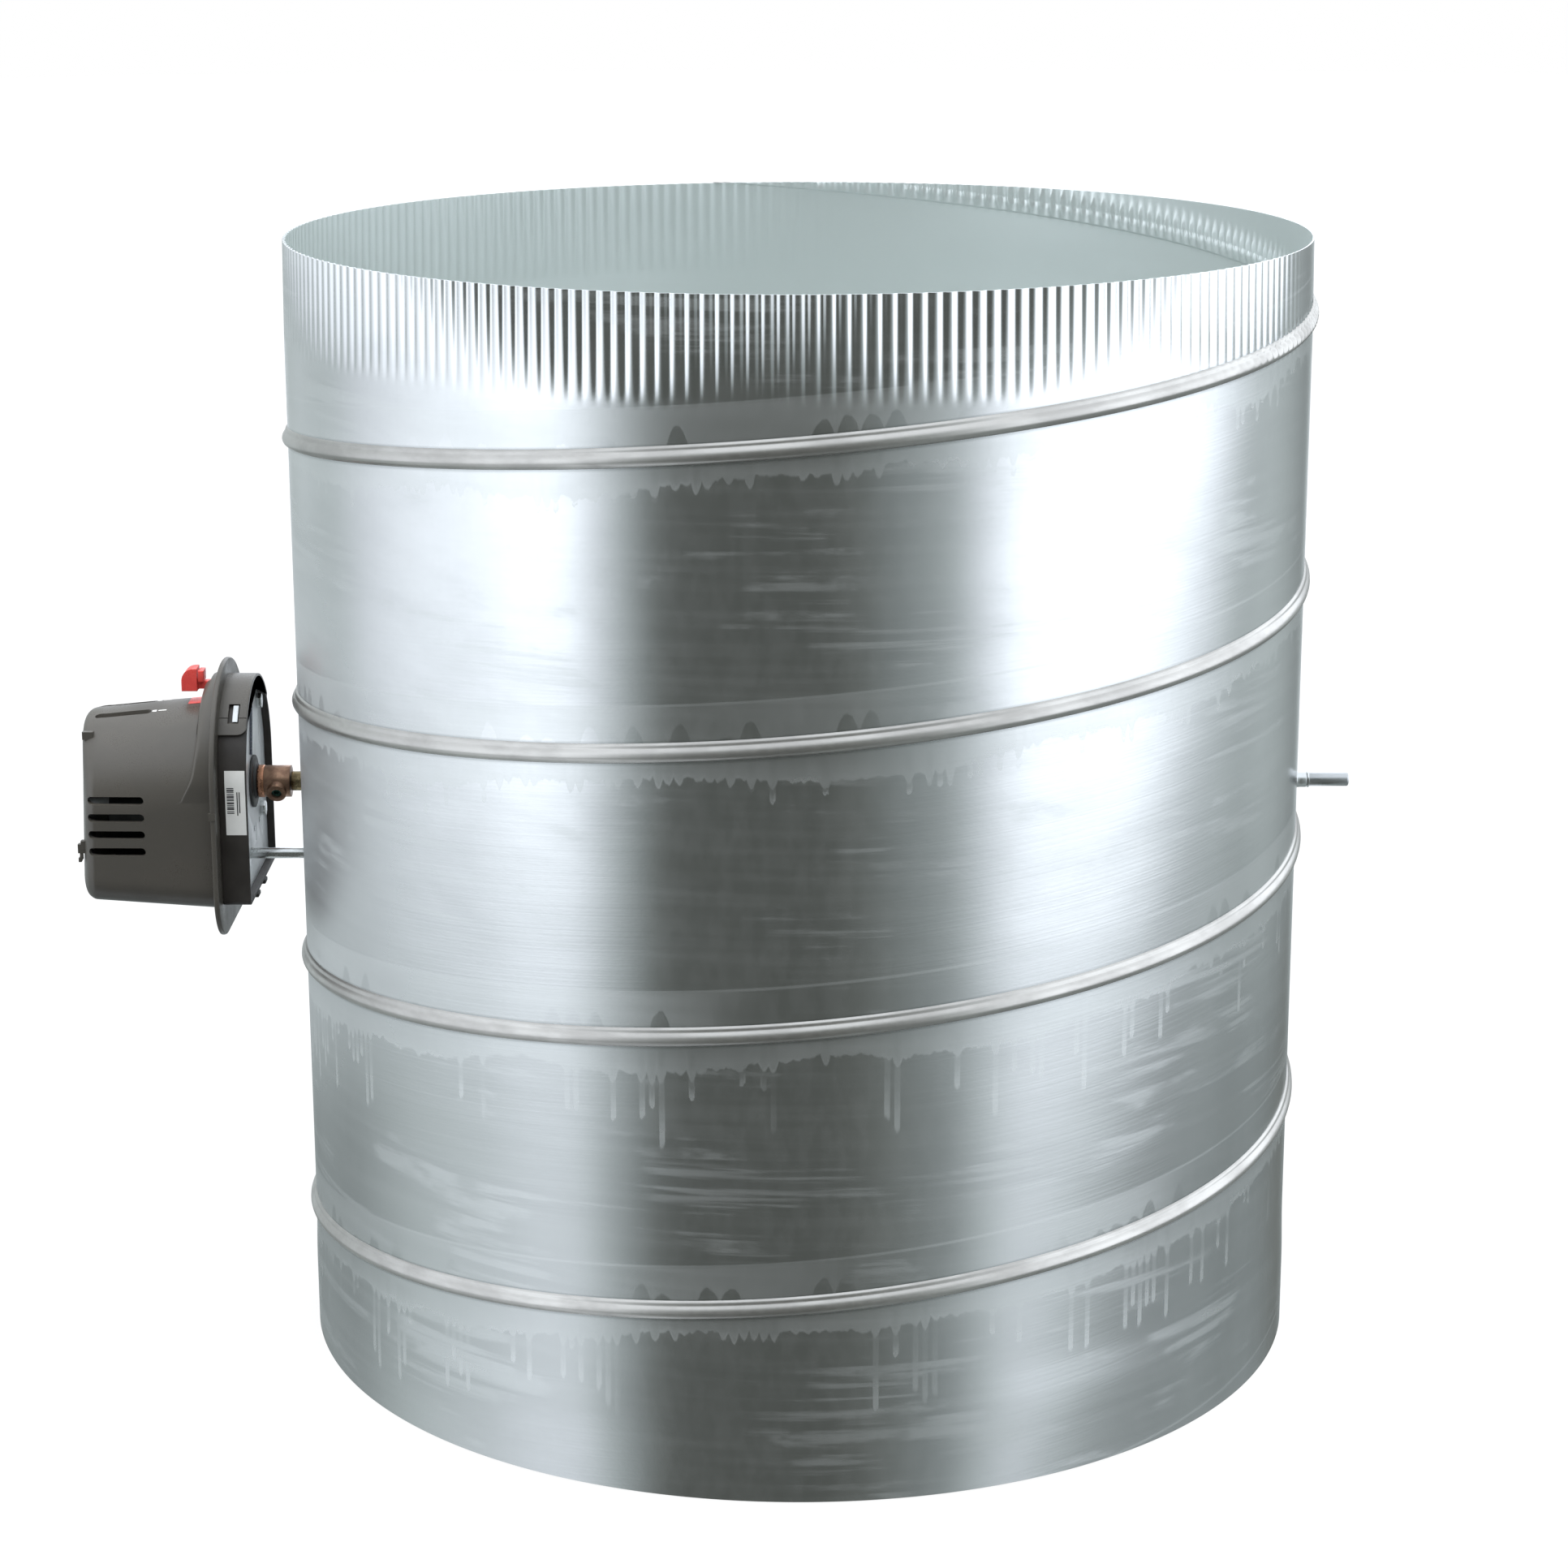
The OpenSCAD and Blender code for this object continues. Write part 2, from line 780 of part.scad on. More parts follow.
// U bolts that hold the shaft to the blade
module shaft_clamps() {
    color([0.76, 0.77, 0.78]) for (share = clamp_shares)
        translate([share * blade_r, 0, shaft_z]) {
            rotate([90, 0, 90]) rotate_extrude(angle = 180) translate([clamp_reach, 0]) circle(clamp_wire_r);
            for (side = [-1, 1])
                translate([0, side * clamp_reach, -clamp_end]) cylinder(r = clamp_wire_r, h = clamp_end);
        }
}

module clamp_nuts() {
    color([0.74, 0.74, 0.72]) for (share = clamp_shares, side = [-1, 1])
        translate([share * blade_r, side * clamp_reach, shaft_z - gasket_from - nut_t]) difference() {
            cylinder(r = nut_r, h = nut_t, $fn = 6);
            translate([0, 0, -over]) cylinder(r = clamp_wire_r + fit_gap, h = nut_t + 2 * over);
        }
}

module thrust_collars() {
    color([0.68, 0.69, 0.7]) for (side = [0, 1]) mirror([side, 0, 0]) difference() {
        out_rod(thrust_end - thrust_len, thrust_end, thrust_r);
        out_rod(thrust_end - thrust_len - over, thrust_end + over, shaft_r + seat_gap);
    }
}

// Bronze hub: collar with its boss outside, spool and pivot inside
module drive_hub() {
    color([0.45, 0.33, 0.25]) difference() {
        union() {
            out_rod(hub_face, collar_end, collar_r);
            radial_rod(boss_x, boss_angle, 0, boss_reach, boss_r);
            out_rod(collar_end - over, spring_end + rest_gap, spool_r);
            out_rod(spring_end, front_plate_end - run_gap, pivot_r);
        }
        out_rod(hub_face - over, sector_end + run_gap, shaft_r + seat_gap);
        radial_rod(boss_x, boss_angle, 0, boss_reach + over, screw_r + seat_gap);
    }
}

module hub_ring() {
    color([0.66, 0.4, 0.27]) difference() {
        out_rod(collar_end + seat_gap, hub_ring_end, hub_ring_r);
        out_rod(collar_end - over, hub_ring_end + over, spool_r + seat_gap);
    }
}

module hub_set_screw() {
    color([0.1, 0.3, 0.22]) difference() {
        radial_rod(boss_x, boss_angle, shaft_r + rest_gap, screw_reach, screw_r);
        radial_rod(boss_x, boss_angle, screw_reach - socket_depth, screw_reach + over, socket_r, 6);
    }
}

// Toothed sector on the hub, meshed with the second wheel's pinion
module output_sector() {
    web_r = output_module * sector_teeth / 2 - root_share * output_module;
    teeth = gear_points(sector_teeth, output_module, wheel_tip_share, -90, sector_from, sector_to);
    color([0.62, 0.63, 0.65]) difference() {
        out_slab(sector_x, sector_end) union() {
            polygon(concat([[0, 0]], teeth));
            circle(sector_hub_r);
        }
        out_rod(sector_x - over, sector_end + over, spool_r + seat_gap);
        out_rod(sector_x - over, sector_end + over, web_hole_share * web_r,
            web_place_share * web_r, -web_place_share * web_r);
    }
}

// Red lever: hub, arm, stem through the shroud and thumb tab
module manual_lever() {
    tab_h = lever_reach - tab_low;
    color([0.9, 0.3, 0.28]) difference() {
        union() {
            out_slab(lever_x, lever_end) union() {
                circle(lever_hub_r);
                translate([-arm_w / 2, 0]) square([arm_w, stem_high]);
            }
            out_box(lever_x, tab_x + over, -stem_w / 2, stem_low, stem_w, stem_high - stem_low);
            out_box(rear_tab_x, rear_tab_x + rear_tab_len, -rear_tab_w / 2, rear_tab_low,
                rear_tab_w, lever_reach - tab_bridge - rear_tab_low);
            out_box(rear_tab_x, tab_x + over, -stem_w / 2, stem_high - tab_bridge,
                stem_w, 2 * tab_bridge);
            intersection() {
                out_box(tab_x, tab_x + tab_len, -tab_w / 2, tab_low, tab_w, tab_h);
                translate([-tab_x, tab_w / 2, shaft_z + tab_low]) rotate([90, 0, 0])
                    scale([tab_len / tab_h, 1, 1]) cylinder(r = tab_h, h = tab_w);
            }
        }
        out_rod(lever_x - over, lever_end + over, spool_r + seat_gap);
    }
}

module switch_cam() {
    color([0.15, 0.15, 0.16]) difference() {
        out_slab(middle_x - rest_gap, middle_end) union() {
            circle(cam_r);
            intersection() {
                circle(cam_lobe_r);
                sector_area(cam_dir - cam_half, cam_dir + cam_half, 2 * cam_lobe_r);
            }
        }
        out_rod(middle_x - over, middle_end + over, spool_r + seat_gap);
    }
}

// Outer or inner form of the dome; inset is the wall to take off
module dome_form(inset, start) {
    intersection() {
        hull() {
            arch_slice(start, dome_half - inset, dome_rise, dome_low - inset, dome_corner - inset);
            arch_slice(flange_front + dome_mid_len - inset, dome_half - side_draft - inset,
                dome_rise - rise_draft, dome_low - low_draft - inset, dome_corner - inset);
            arch_slice(dome_front - inset, dome_half - side_draft - nose_inset - inset,
                dome_rise - rise_draft, dome_low - low_draft - nose_low - inset, dome_corner - inset);
        }
        translate([crown_r - dome_front, 0, shaft_z - 2 * dome_low])
            cylinder(r = crown_r - inset, h = 4 * dome_low, $fn = 128);
    }
}

// Shroud over the lever's arc, blended down to the dome
module shroud_form(inset) {
    top_r = shroud_r - inset;
    hull() {
        arch_slice(flange_front - (inset > 0 ? 0 : dome_root), top_r, case_rise, shroud_foot,
            shroud_foot / 2);
        arch_slice(flange_front + shroud_len - inset, top_r, case_rise, shroud_foot, shroud_foot / 2);
        arch_slice(flange_front + shroud_len + shroud_slope - inset, top_r - side_draft,
            dome_rise - shroud_sink, shroud_foot, shroud_foot / 2);
    }
}

// Stadium-shaped cutters for the vents
module side_slot(z) {
    r = slot_h / 2;
    depth = 2 * dome_half + 2 * over;
    translate([-slot_start - slot_len, dome_half + over, shaft_z + z]) rotate([90, 0, 0]) {
        translate([r, -r, 0]) cube([slot_len - slot_h, slot_h, depth]);
        for (x = [r, slot_len - r]) translate([x, 0, 0]) cylinder(r = r, h = depth);
    }
}

module top_slot(y) {
    r = top_slot_w / 2;
    translate([-slot_start - slot_len, y, shaft_z + top_slot_z]) {
        translate([r, -r, 0]) cube([slot_len - top_slot_w, top_slot_w, dome_half]);
        for (x = [r, slot_len - r]) translate([x, 0, 0]) cylinder(r = r, h = dome_half);
    }
}

// Space that the lever sweeps, taken out of the cover
module lever_sweep() {
    reach = 2 * flange_half;
    out_slab(lever_x - slot_side, lever_end + 2 * slot_side) intersection() {
        difference() {
            circle(lever_reach + over);
            circle(arm_slot_low);
        }
        sector_area(-sweep_margin, 90 + sweep_margin, reach);
    }
    out_slab(lever_end + slot_side, tab_x + tab_len + over) intersection() {
        difference() {
            circle(lever_reach + over);
            circle(sweep_low);
        }
        sector_area(-sweep_margin, 90 + sweep_margin, reach);
    }
}

// Two small hooks moulded on the near edge of the dome's front
module cover_hooks() {
    start = flange_front + dome_mid_len;
    rise = dome_rise - rise_draft;
    out_slab(start, start + hook_len) intersection() {
        difference() {
            translate([0, rise]) circle(hook_reach);
            translate([0, rise]) circle(hook_reach - 2 * cover_t);
        }
        union() {
            for (a = hook_angles)
                translate([0, rise]) sector_area(a - hook_half, a + hook_half, 2 * hook_reach);
        }
    }
}

module front_cover() {
    color([0.36, 0.35, 0.32]) difference() {
        union() {
            dome_form(0, flange_front - dome_root);
            shroud_form(0);
            cover_hooks();
            out_slab(flange_x, flange_front) arch(flange_half, flange_rise, flange_low, flange_corner);
            out_slab(case_x, flange_x + slice) skirt_area();
        }
        dome_form(cover_t, flange_front);
        shroud_form(cover_t);
        out_slab(flange_x - slice, flange_front + slice)
            arch(case_r - case_t, case_rise, case_low - case_t, case_corner);
        for (i = [0 : side_slots - 1]) side_slot(slot_z - i * slot_pitch);
        for (side = [-1, 1]) top_slot(side * top_slot_y);
        lever_sweep();
        out_box(window_x, window_x + window_w, -dome_half - over, window_z, 2 * (dome_half + over), window_h);
        translate([-grommet_x, grommet_y, shaft_z - dome_low - over])
            cylinder(r = grommet_neck_r + rest_gap, h = dome_corner + over);
    }
}

// Arched strip behind the flange that latches over the rear case
module skirt_area() {
    intersection() {
        difference() {
            translate([0, case_rise]) circle(dome_half);
            translate([0, case_rise]) circle(case_r + skirt_gap);
        }
        translate([-dome_half - over, skirt_z]) square([2 * (dome_half + over), dome_half]);
    }
}

module rear_case() {
    color([0.14, 0.13, 0.12]) union() {
        out_slab(case_x, flange_x) difference() {
            arch(case_r, case_rise, case_low, case_corner);
            arch(case_r - case_t, case_rise, case_low - case_t, case_corner);
        }
        out_slab(plate_in, plate_in + ledge_t) difference() {
            arch(case_r - case_t / 2, case_rise, case_low - case_t / 2, case_corner);
            arch(case_r - case_t - ledge_w, case_rise, case_low - case_t - ledge_w, case_corner);
        }
    }
}

module back_plate() {
    plate_r = case_r - case_t - plate_gap;
    color([0.86, 0.87, 0.88]) difference() {
        out_slab(plate_x, plate_in) difference() {
            arch(plate_r, case_rise, case_low - case_t - plate_gap, case_corner);
            for (i = [0 : len(slit_places) - 1])
                translate(slit_places[i]) square([slit_w, slit_lens[i]]);
        }
        out_rod(plate_x - over, plate_in + over, neck_r + fit_gap);
        out_rod(plate_x - over, plate_in + over, stud_r + fit_gap, stud_y, stud_z);
        for (at = screw_places)
            out_rod(plate_x - over, plate_in + over, plate_screw_r + fit_gap, at[0], at[1]);
        for (at = [second_at, first_at])
            out_rod(plate_x - over, plate_in + over, arbor_r + fit_gap, at[0], at[1]);
        for (at = switch_pins)
            out_rod(plate_x - over, plate_in + over, switch_pin_r + fit_gap, at[0], at[1]);
    }
}

module plate_screws() {
    color([0.8, 0.81, 0.82]) for (at = screw_places) {
        translate([plate_t - plate_in, at[0], shaft_z + at[1]]) rotate([0, 90, 0])
            cylinder(r = hex_r, h = hex_t, $fn = 6);
        out_rod(plate_x - over, plate_x + plate_screw_len, plate_screw_r, at[0], at[1]);
    }
}

module hub_bush() {
    color([0.08, 0.08, 0.08]) difference() {
        union() {
            out_rod(neck_x, bush_in, neck_r);
            out_rod(plate_x - disc_t, plate_x, disc_r);
        }
        out_rod(neck_x - over, bush_in + over, spool_r + fit_gap);
    }
}

// Steel hooks of the rear case, inside the windows of the skirt
module case_latches() {
    color([0.82, 0.83, 0.84]) intersection() {
        out_slab(window_x + latch_margin, window_x + latch_margin + latch_w) difference() {
            translate([0, case_rise]) circle(case_r + latch_t);
            translate([0, case_rise]) circle(case_r + seat_gap);
        }
        out_box(case_x, flange_x, -dome_half, window_z + latch_margin, 2 * dome_half,
            window_h - 2 * latch_margin);
    }
}

module case_clips() {
    color([0.3, 0.3, 0.3]) for (y = clip_places)
        out_box(case_x - clip_proud, case_x + clip_len, y - clip_w / 2, -case_low - clip_t,
            clip_w, clip_t - seat_gap);
}

module case_label() {
    color([0.66, 0.66, 0.63]) intersection() {
        out_slab(case_x + label_side, case_x + label_side + label_len) difference() {
            arch(case_r + label_t, case_rise, case_low, case_corner);
            arch(case_r + seat_gap, case_rise, case_low + over, case_corner);
        }
        out_box(case_x, flange_x, -case_r - over, label_top - label_h, case_r, label_h);
    }
}

module cable_grommet() {
    color([0.1, 0.1, 0.1]) translate([-grommet_x, grommet_y, shaft_z - grommet_low]) difference() {
        union() {
            translate([0, 0, -grommet_proud]) cylinder(r = grommet_r, h = grommet_proud - grommet_lift);
            translate([0, 0, -grommet_proud]) cylinder(r = grommet_neck_r, h = grommet_proud + 2 * cover_t);
        }
        translate([0, 0, -grommet_proud - over])
            cylinder(r = grommet_bore_r, h = grommet_proud + 2 * cover_t + 2 * over);
    }
}

// Spring wire behind the back plate that keeps the hub's bush seated
module hub_clip() {
    run = wire_top - wire_foot;
    color([0.18, 0.18, 0.18])
        translate([-plate_x + wire_r + seat_gap, wire_foot[0], shaft_z + wire_foot[1]])
            rotate([-atan2(run[0], run[1]), 0, 0]) cylinder(r = wire_r, h = norm(run));
}

module anti_rotation_stud() {
    color([0.72, 0.73, 0.72])
        out_rod(stud_wall_in() - stud_nut_t - stud_tail, plate_in + stud_nut_t + stud_tail,
            stud_r, stud_y, stud_z);
}

// Station of the duct's inner wall beside the stud's nut
function stud_wall_in() = sqrt(duct_r * duct_r - pow(abs(stud_y) + stud_nut_r, 2)) - stud_wall_gap;

module stud_nuts() {
    color([0.74, 0.74, 0.72]) for (s = [stud_wall_in() - stud_nut_t, plate_in]) difference() {
        translate([-s - stud_nut_t, stud_y, shaft_z + stud_z]) rotate([0, 90, 0])
            cylinder(r = stud_nut_r, h = stud_nut_t, $fn = 6);
        out_rod(s - over, s + stud_nut_t + over, stud_r + fit_gap, stud_y, stud_z);
    }
}

module front_gear_plate() {
    color([0.7, 0.71, 0.7]) difference() {
        out_slab(front_plate_x, front_plate_end) arch(frame_r, frame_rise, frame_low, frame_corner);
        out_rod(front_plate_x - over, front_plate_end + over, pivot_r + fit_gap);
        out_rod(front_plate_x - over, front_plate_end + over, rotor_shaft_r + rest_gap,
            rotor_at[0], rotor_at[1]);
        for (at = [second_at, first_at])
            out_rod(front_plate_x - over, front_plate_end + over, arbor_r + fit_gap, at[0], at[1]);
    }
}

module plate_pillars() {
    color([0.72, 0.72, 0.7]) {
        for (at = pillar_places) out_rod(plate_in, front_plate_x, pillar_r, at[0], at[1]);
        for (at = switch_pins)
            out_rod(plate_x, middle_x + 2 * switch_t + 2 * switch_gap, switch_pin_r, at[0], at[1]);
    }
}

module gear_arbors() {
    color([0.76, 0.77, 0.78]) for (at = [second_at, first_at])
        out_rod(plate_x - arbor_tail, front_plate_end, arbor_r, at[0], at[1]);
}

// Wheel and pinion in one piece, turning on an arbor
module wheel_cluster(at, wheel_teeth, wheel_m, wheel_from, wheel_to, wheel_start,
                     pinion_m, pinion_from, pinion_to, pinion_start) {
    difference() {
        union() {
            translate([0, at[0], at[1]]) {
                out_slab(wheel_from, wheel_to) gear(wheel_teeth, wheel_m, wheel_tip_share, wheel_start);
                out_slab(pinion_from, pinion_to) gear(pinion_teeth, pinion_m, pinion_tip_share, pinion_start);
            }
            out_rod(pinion_to - over, wheel_from + over, wheel_hub_r, at[0], at[1]);
        }
        out_rod(pinion_from - over, wheel_to + over, arbor_r + fit_gap, at[0], at[1]);
    }
}

module second_wheel() {
    color([0.8, 0.68, 0.35]) wheel_cluster(second_at, middle_teeth, middle_module, middle_x, middle_end, 0,
        output_module, sector_x - face_extra / 2, sector_end + face_extra, 90 + 180 / pinion_teeth);
}

module first_wheel() {
    color([0.8, 0.68, 0.35]) wheel_cluster(first_at, motor_teeth, motor_module, motor_gear_x, motor_gear_end,
        rotor_dir, middle_module, middle_x - face_extra, middle_end + face_extra, 180 + 180 / pinion_teeth);
}

module motor_pinion() {
    color([0.75, 0.76, 0.78]) difference() {
        translate([0, rotor_at[0], rotor_at[1]])
            out_slab(motor_gear_x - face_extra, motor_gear_end + face_extra)
                gear(pinion_teeth, motor_module, pinion_tip_share, rotor_dir + 180 + 180 / pinion_teeth);
        out_rod(motor_gear_x - over, motor_gear_end + over, rotor_shaft_r + seat_gap,
            rotor_at[0], rotor_at[1]);
    }
}

module motor_rotor() {
    core = front_plate_end + can_t + rotor_core_gap;
    color([0.3, 0.3, 0.33]) {
        out_rod(motor_gear_x - face_extra, front_plate_end + motor_len - can_t - run_gap,
            rotor_shaft_r, rotor_at[0], rotor_at[1]);
        out_rod(core, core + rotor_core_len, rotor_core_r, rotor_at[0], rotor_at[1]);
    }
}

module motor_coil() {
    inner = front_plate_end + can_t + coil_margin;
    outer = front_plate_end + motor_len - can_t - coil_margin;
    color([0.7, 0.4, 0.2]) difference() {
        out_rod(inner, outer, motor_d / 2 - can_t - coil_out, rotor_at[0], rotor_at[1]);
        out_rod(inner - over, outer + over, rotor_core_r + coil_in, rotor_at[0], rotor_at[1]);
    }
}

module motor_can() {
    end = front_plate_end + motor_len;
    color([0.66, 0.67, 0.68]) difference() {
        out_rod(front_plate_end, end, motor_d / 2, rotor_at[0], rotor_at[1]);
        out_rod(front_plate_end + can_t, end - can_t, motor_d / 2 - can_t, rotor_at[0], rotor_at[1]);
        out_rod(front_plate_end - over, end - can_t, rotor_shaft_r + fit_gap, rotor_at[0], rotor_at[1]);
    }
}

// Flat spiral spring round the hub; its inner end lies by the spool
module return_spring() {
    n = spring_turns * spring_step;
    function edge(i, side) =
        let (a = spring_dir + i * 360 / spring_step,
             r = spring_r + spring_grow * i / spring_step + side * spring_t / 2)
        r * [cos(a), sin(a)];
    color([0.35, 0.36, 0.4]) out_slab(spring_x, spring_end) polygon(concat(
        [for (i = [0 : n]) edge(i, 1)],
        [for (i = [n : -1 : 0]) edge(i, -1)]
    ));
}

module spring_post() {
    reach = spring_out + rest_gap + post_r;
    color([0.7, 0.7, 0.7]) out_rod(spring_x + rest_gap, front_plate_x, post_r,
        reach * cos(spring_dir), reach * sin(spring_dir));
}

// Two snap switches side by side on their pins
module end_switches() {
    color([0.12, 0.12, 0.13]) for (i = [0, 1]) {
        start = middle_x + i * (switch_t + switch_gap);
        difference() {
            out_box(start, start + switch_t, switch_at[0], switch_at[1], switch_size[0], switch_size[1]);
            for (at = switch_pins)
                out_rod(start - over, start + switch_t + over, switch_pin_r + fit_gap, at[0], at[1]);
        }
    }
}

module switch_levers() {
    color([0.8, 0.8, 0.8]) for (i = [0, 1]) {
        start = middle_x + i * (switch_t + switch_gap) + (switch_t - leaf_w) / 2;
        out_box(start, start + leaf_w, leaf_root + seat_gap, leaf_z[i], leaf_len, leaf_t);
    }
}

module circuit_board() {
    start = front_plate_end + board_start;
    color([0.1, 0.4, 0.25]) out_box(start, start + board_len, -board_half, board_z, 2 * board_half, board_t);
}

module board_posts() {
    color([0.72, 0.72, 0.7]) for (side = [-1, 1])
        out_rod(front_plate_end, front_plate_end + board_post_len, board_post_r,
            side * post_half, board_z - board_post_r);
}

module terminal_block() {
    start = front_plate_end + board_start + block_at[0];
    color([0.15, 0.35, 0.2]) difference() {
        out_box(start, start + block_size[0], block_at[1] - block_size[1] / 2, board_z + board_t,
            block_size[1], block_size[2]);
        for (i = [-1 : 1])
            translate([-start - block_size[0] / 2, block_at[1] + i * block_pitch,
                       shaft_z + board_z + board_t + block_size[2] - block_pocket])
                cylinder(r = block_hole_r, h = block_pocket + over);
    }
}

module terminal_screws() {
    start = front_plate_end + board_start + block_at[0];
    color([0.8, 0.8, 0.78]) for (i = [-1 : 1])
        translate([-start - block_size[0] / 2, block_at[1] + i * block_pitch,
                   shaft_z + board_z + board_t + block_size[2] - block_pocket])
            cylinder(r = block_screw_r, h = block_screw_h);
}

module board_capacitor() {
    color([0.2, 0.25, 0.5])
        translate([-front_plate_end - board_start - cap_at[0], cap_at[1], shaft_z + board_z + board_t])
            cylinder(r = cap_r, h = cap_h);
}

duct_shell();
spiral_lock_seam();
shaft_bush_left();
shaft_bush_right();
wall_washer_left();
wall_washer_right();
blade_stops();
damper_shaft();
retaining_ring();
damper_blade();
blade_gasket();
gasket_ring();
gasket_rivets();
shaft_clamps();
clamp_nuts();
thrust_collars();
drive_hub();
hub_ring();
hub_set_screw();
output_sector();
manual_lever();
switch_cam();
front_cover();
rear_case();
back_plate();
plate_screws();
hub_bush();
case_latches();
case_clips();
case_label();
cable_grommet();
hub_clip();
anti_rotation_stud();
stud_nuts();
front_gear_plate();
plate_pillars();
gear_arbors();
second_wheel();
first_wheel();
motor_pinion();
motor_rotor();
motor_coil();
motor_can();
return_spring();
spring_post();
end_switches();
switch_levers();
circuit_board();
board_posts();
terminal_block();
terminal_screws();
board_capacitor();
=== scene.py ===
import bpy, bmesh, json
from math import sin, cos, pi, radians, degrees, atan2, asin, sqrt, floor, ceil, hypot
from mathutils import Vector, Matrix

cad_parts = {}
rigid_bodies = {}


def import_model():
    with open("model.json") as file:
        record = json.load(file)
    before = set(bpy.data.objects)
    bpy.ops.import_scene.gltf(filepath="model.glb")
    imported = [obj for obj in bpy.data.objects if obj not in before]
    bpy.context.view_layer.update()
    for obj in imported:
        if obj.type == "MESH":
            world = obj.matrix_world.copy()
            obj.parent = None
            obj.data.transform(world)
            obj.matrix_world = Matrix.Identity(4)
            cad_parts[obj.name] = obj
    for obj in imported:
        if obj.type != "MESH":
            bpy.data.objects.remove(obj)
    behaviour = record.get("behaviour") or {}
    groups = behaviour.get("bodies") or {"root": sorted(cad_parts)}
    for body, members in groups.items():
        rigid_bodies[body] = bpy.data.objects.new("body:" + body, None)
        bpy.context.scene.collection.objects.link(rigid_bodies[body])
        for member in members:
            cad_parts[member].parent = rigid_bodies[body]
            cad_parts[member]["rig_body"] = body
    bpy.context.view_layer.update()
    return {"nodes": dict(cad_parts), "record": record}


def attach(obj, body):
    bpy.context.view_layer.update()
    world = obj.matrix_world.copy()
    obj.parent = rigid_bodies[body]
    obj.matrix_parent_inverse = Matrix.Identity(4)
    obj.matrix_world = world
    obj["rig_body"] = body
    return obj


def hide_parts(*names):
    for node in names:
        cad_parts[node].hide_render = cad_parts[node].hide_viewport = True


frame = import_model()
NODES = frame["nodes"]

# Sizes in millimetres, as in the part's source
BORE_R, WALL, LENGTH = 228.6, 0.7, 508.0
BELL_STEP, BELL_LEN, BELL_BLEND = 0.6, 44.0, 14
SHAFT_Z, SHAFT_HOLE_R = 254.0, 4.6
STUD_Z, STUD_Y, STUD_HOLE_R = 223.2, -14.0, 2.6
PITCH, SEAM_Z0, SEAM_START = 120.0, 478.73, 4.6
CRIMPS, CRIMP_DEPTH, CRIMP_TAPER = 240, 0.95, 0.7
CRIMP_LOW, CRIMP_POWER, CRIMP_SHARP = 465.0, 0.55, 1.8

# Where the seam meets the crimps: depth of its notches and their first and last angle in degrees
TOOTH_DEPTH, TOOTH_FIRST, TOOTH_LAST = 1.5, -40, 104

# The camera that was fitted to the photograph, in degrees and metres
CAMERA_YAW, CAMERA_PITCH, CAMERA_ROLL = -0.194, 14.898, -0.144
CAMERA_PLACE, CAMERA_LENS = (-0.00135, -1.6178, 0.6825), 82.62


def lerp(a, b, t):
    return a + (b - a) * t


def smooth(a, b, v):
    t = min(1.0, max(0.0, (v - a) / (b - a)))
    return t * t * (3 - 2 * t)


# Camera at the photograph's viewing angle
def make_camera():
    yaw, pitch, roll = radians(CAMERA_YAW), radians(CAMERA_PITCH), radians(CAMERA_ROLL)
    forward = Vector((sin(yaw) * cos(pitch), cos(yaw) * cos(pitch), -sin(pitch)))
    level = Vector((cos(yaw), -sin(yaw), 0))
    upright = level.cross(forward)
    right = cos(roll) * level + sin(roll) * upright
    up = -sin(roll) * level + cos(roll) * upright
    data = bpy.data.cameras.new("camera")
    data.lens, data.sensor_width = CAMERA_LENS, 36.0
    data.clip_start, data.clip_end = 0.05, 60
    camera = bpy.data.objects.new("camera", data)
    bpy.context.scene.collection.objects.link(camera)
    camera.matrix_world = Matrix((
        (right.x, up.x, -forward.x, CAMERA_PLACE[0]),
        (right.y, up.y, -forward.y, CAMERA_PLACE[1]),
        (right.z, up.z, -forward.z, CAMERA_PLACE[2]),
        (0, 0, 0, 1),
    ))
    bpy.context.scene.camera = camera


make_camera()
bpy.context.scene.view_settings.view_transform = "Standard"


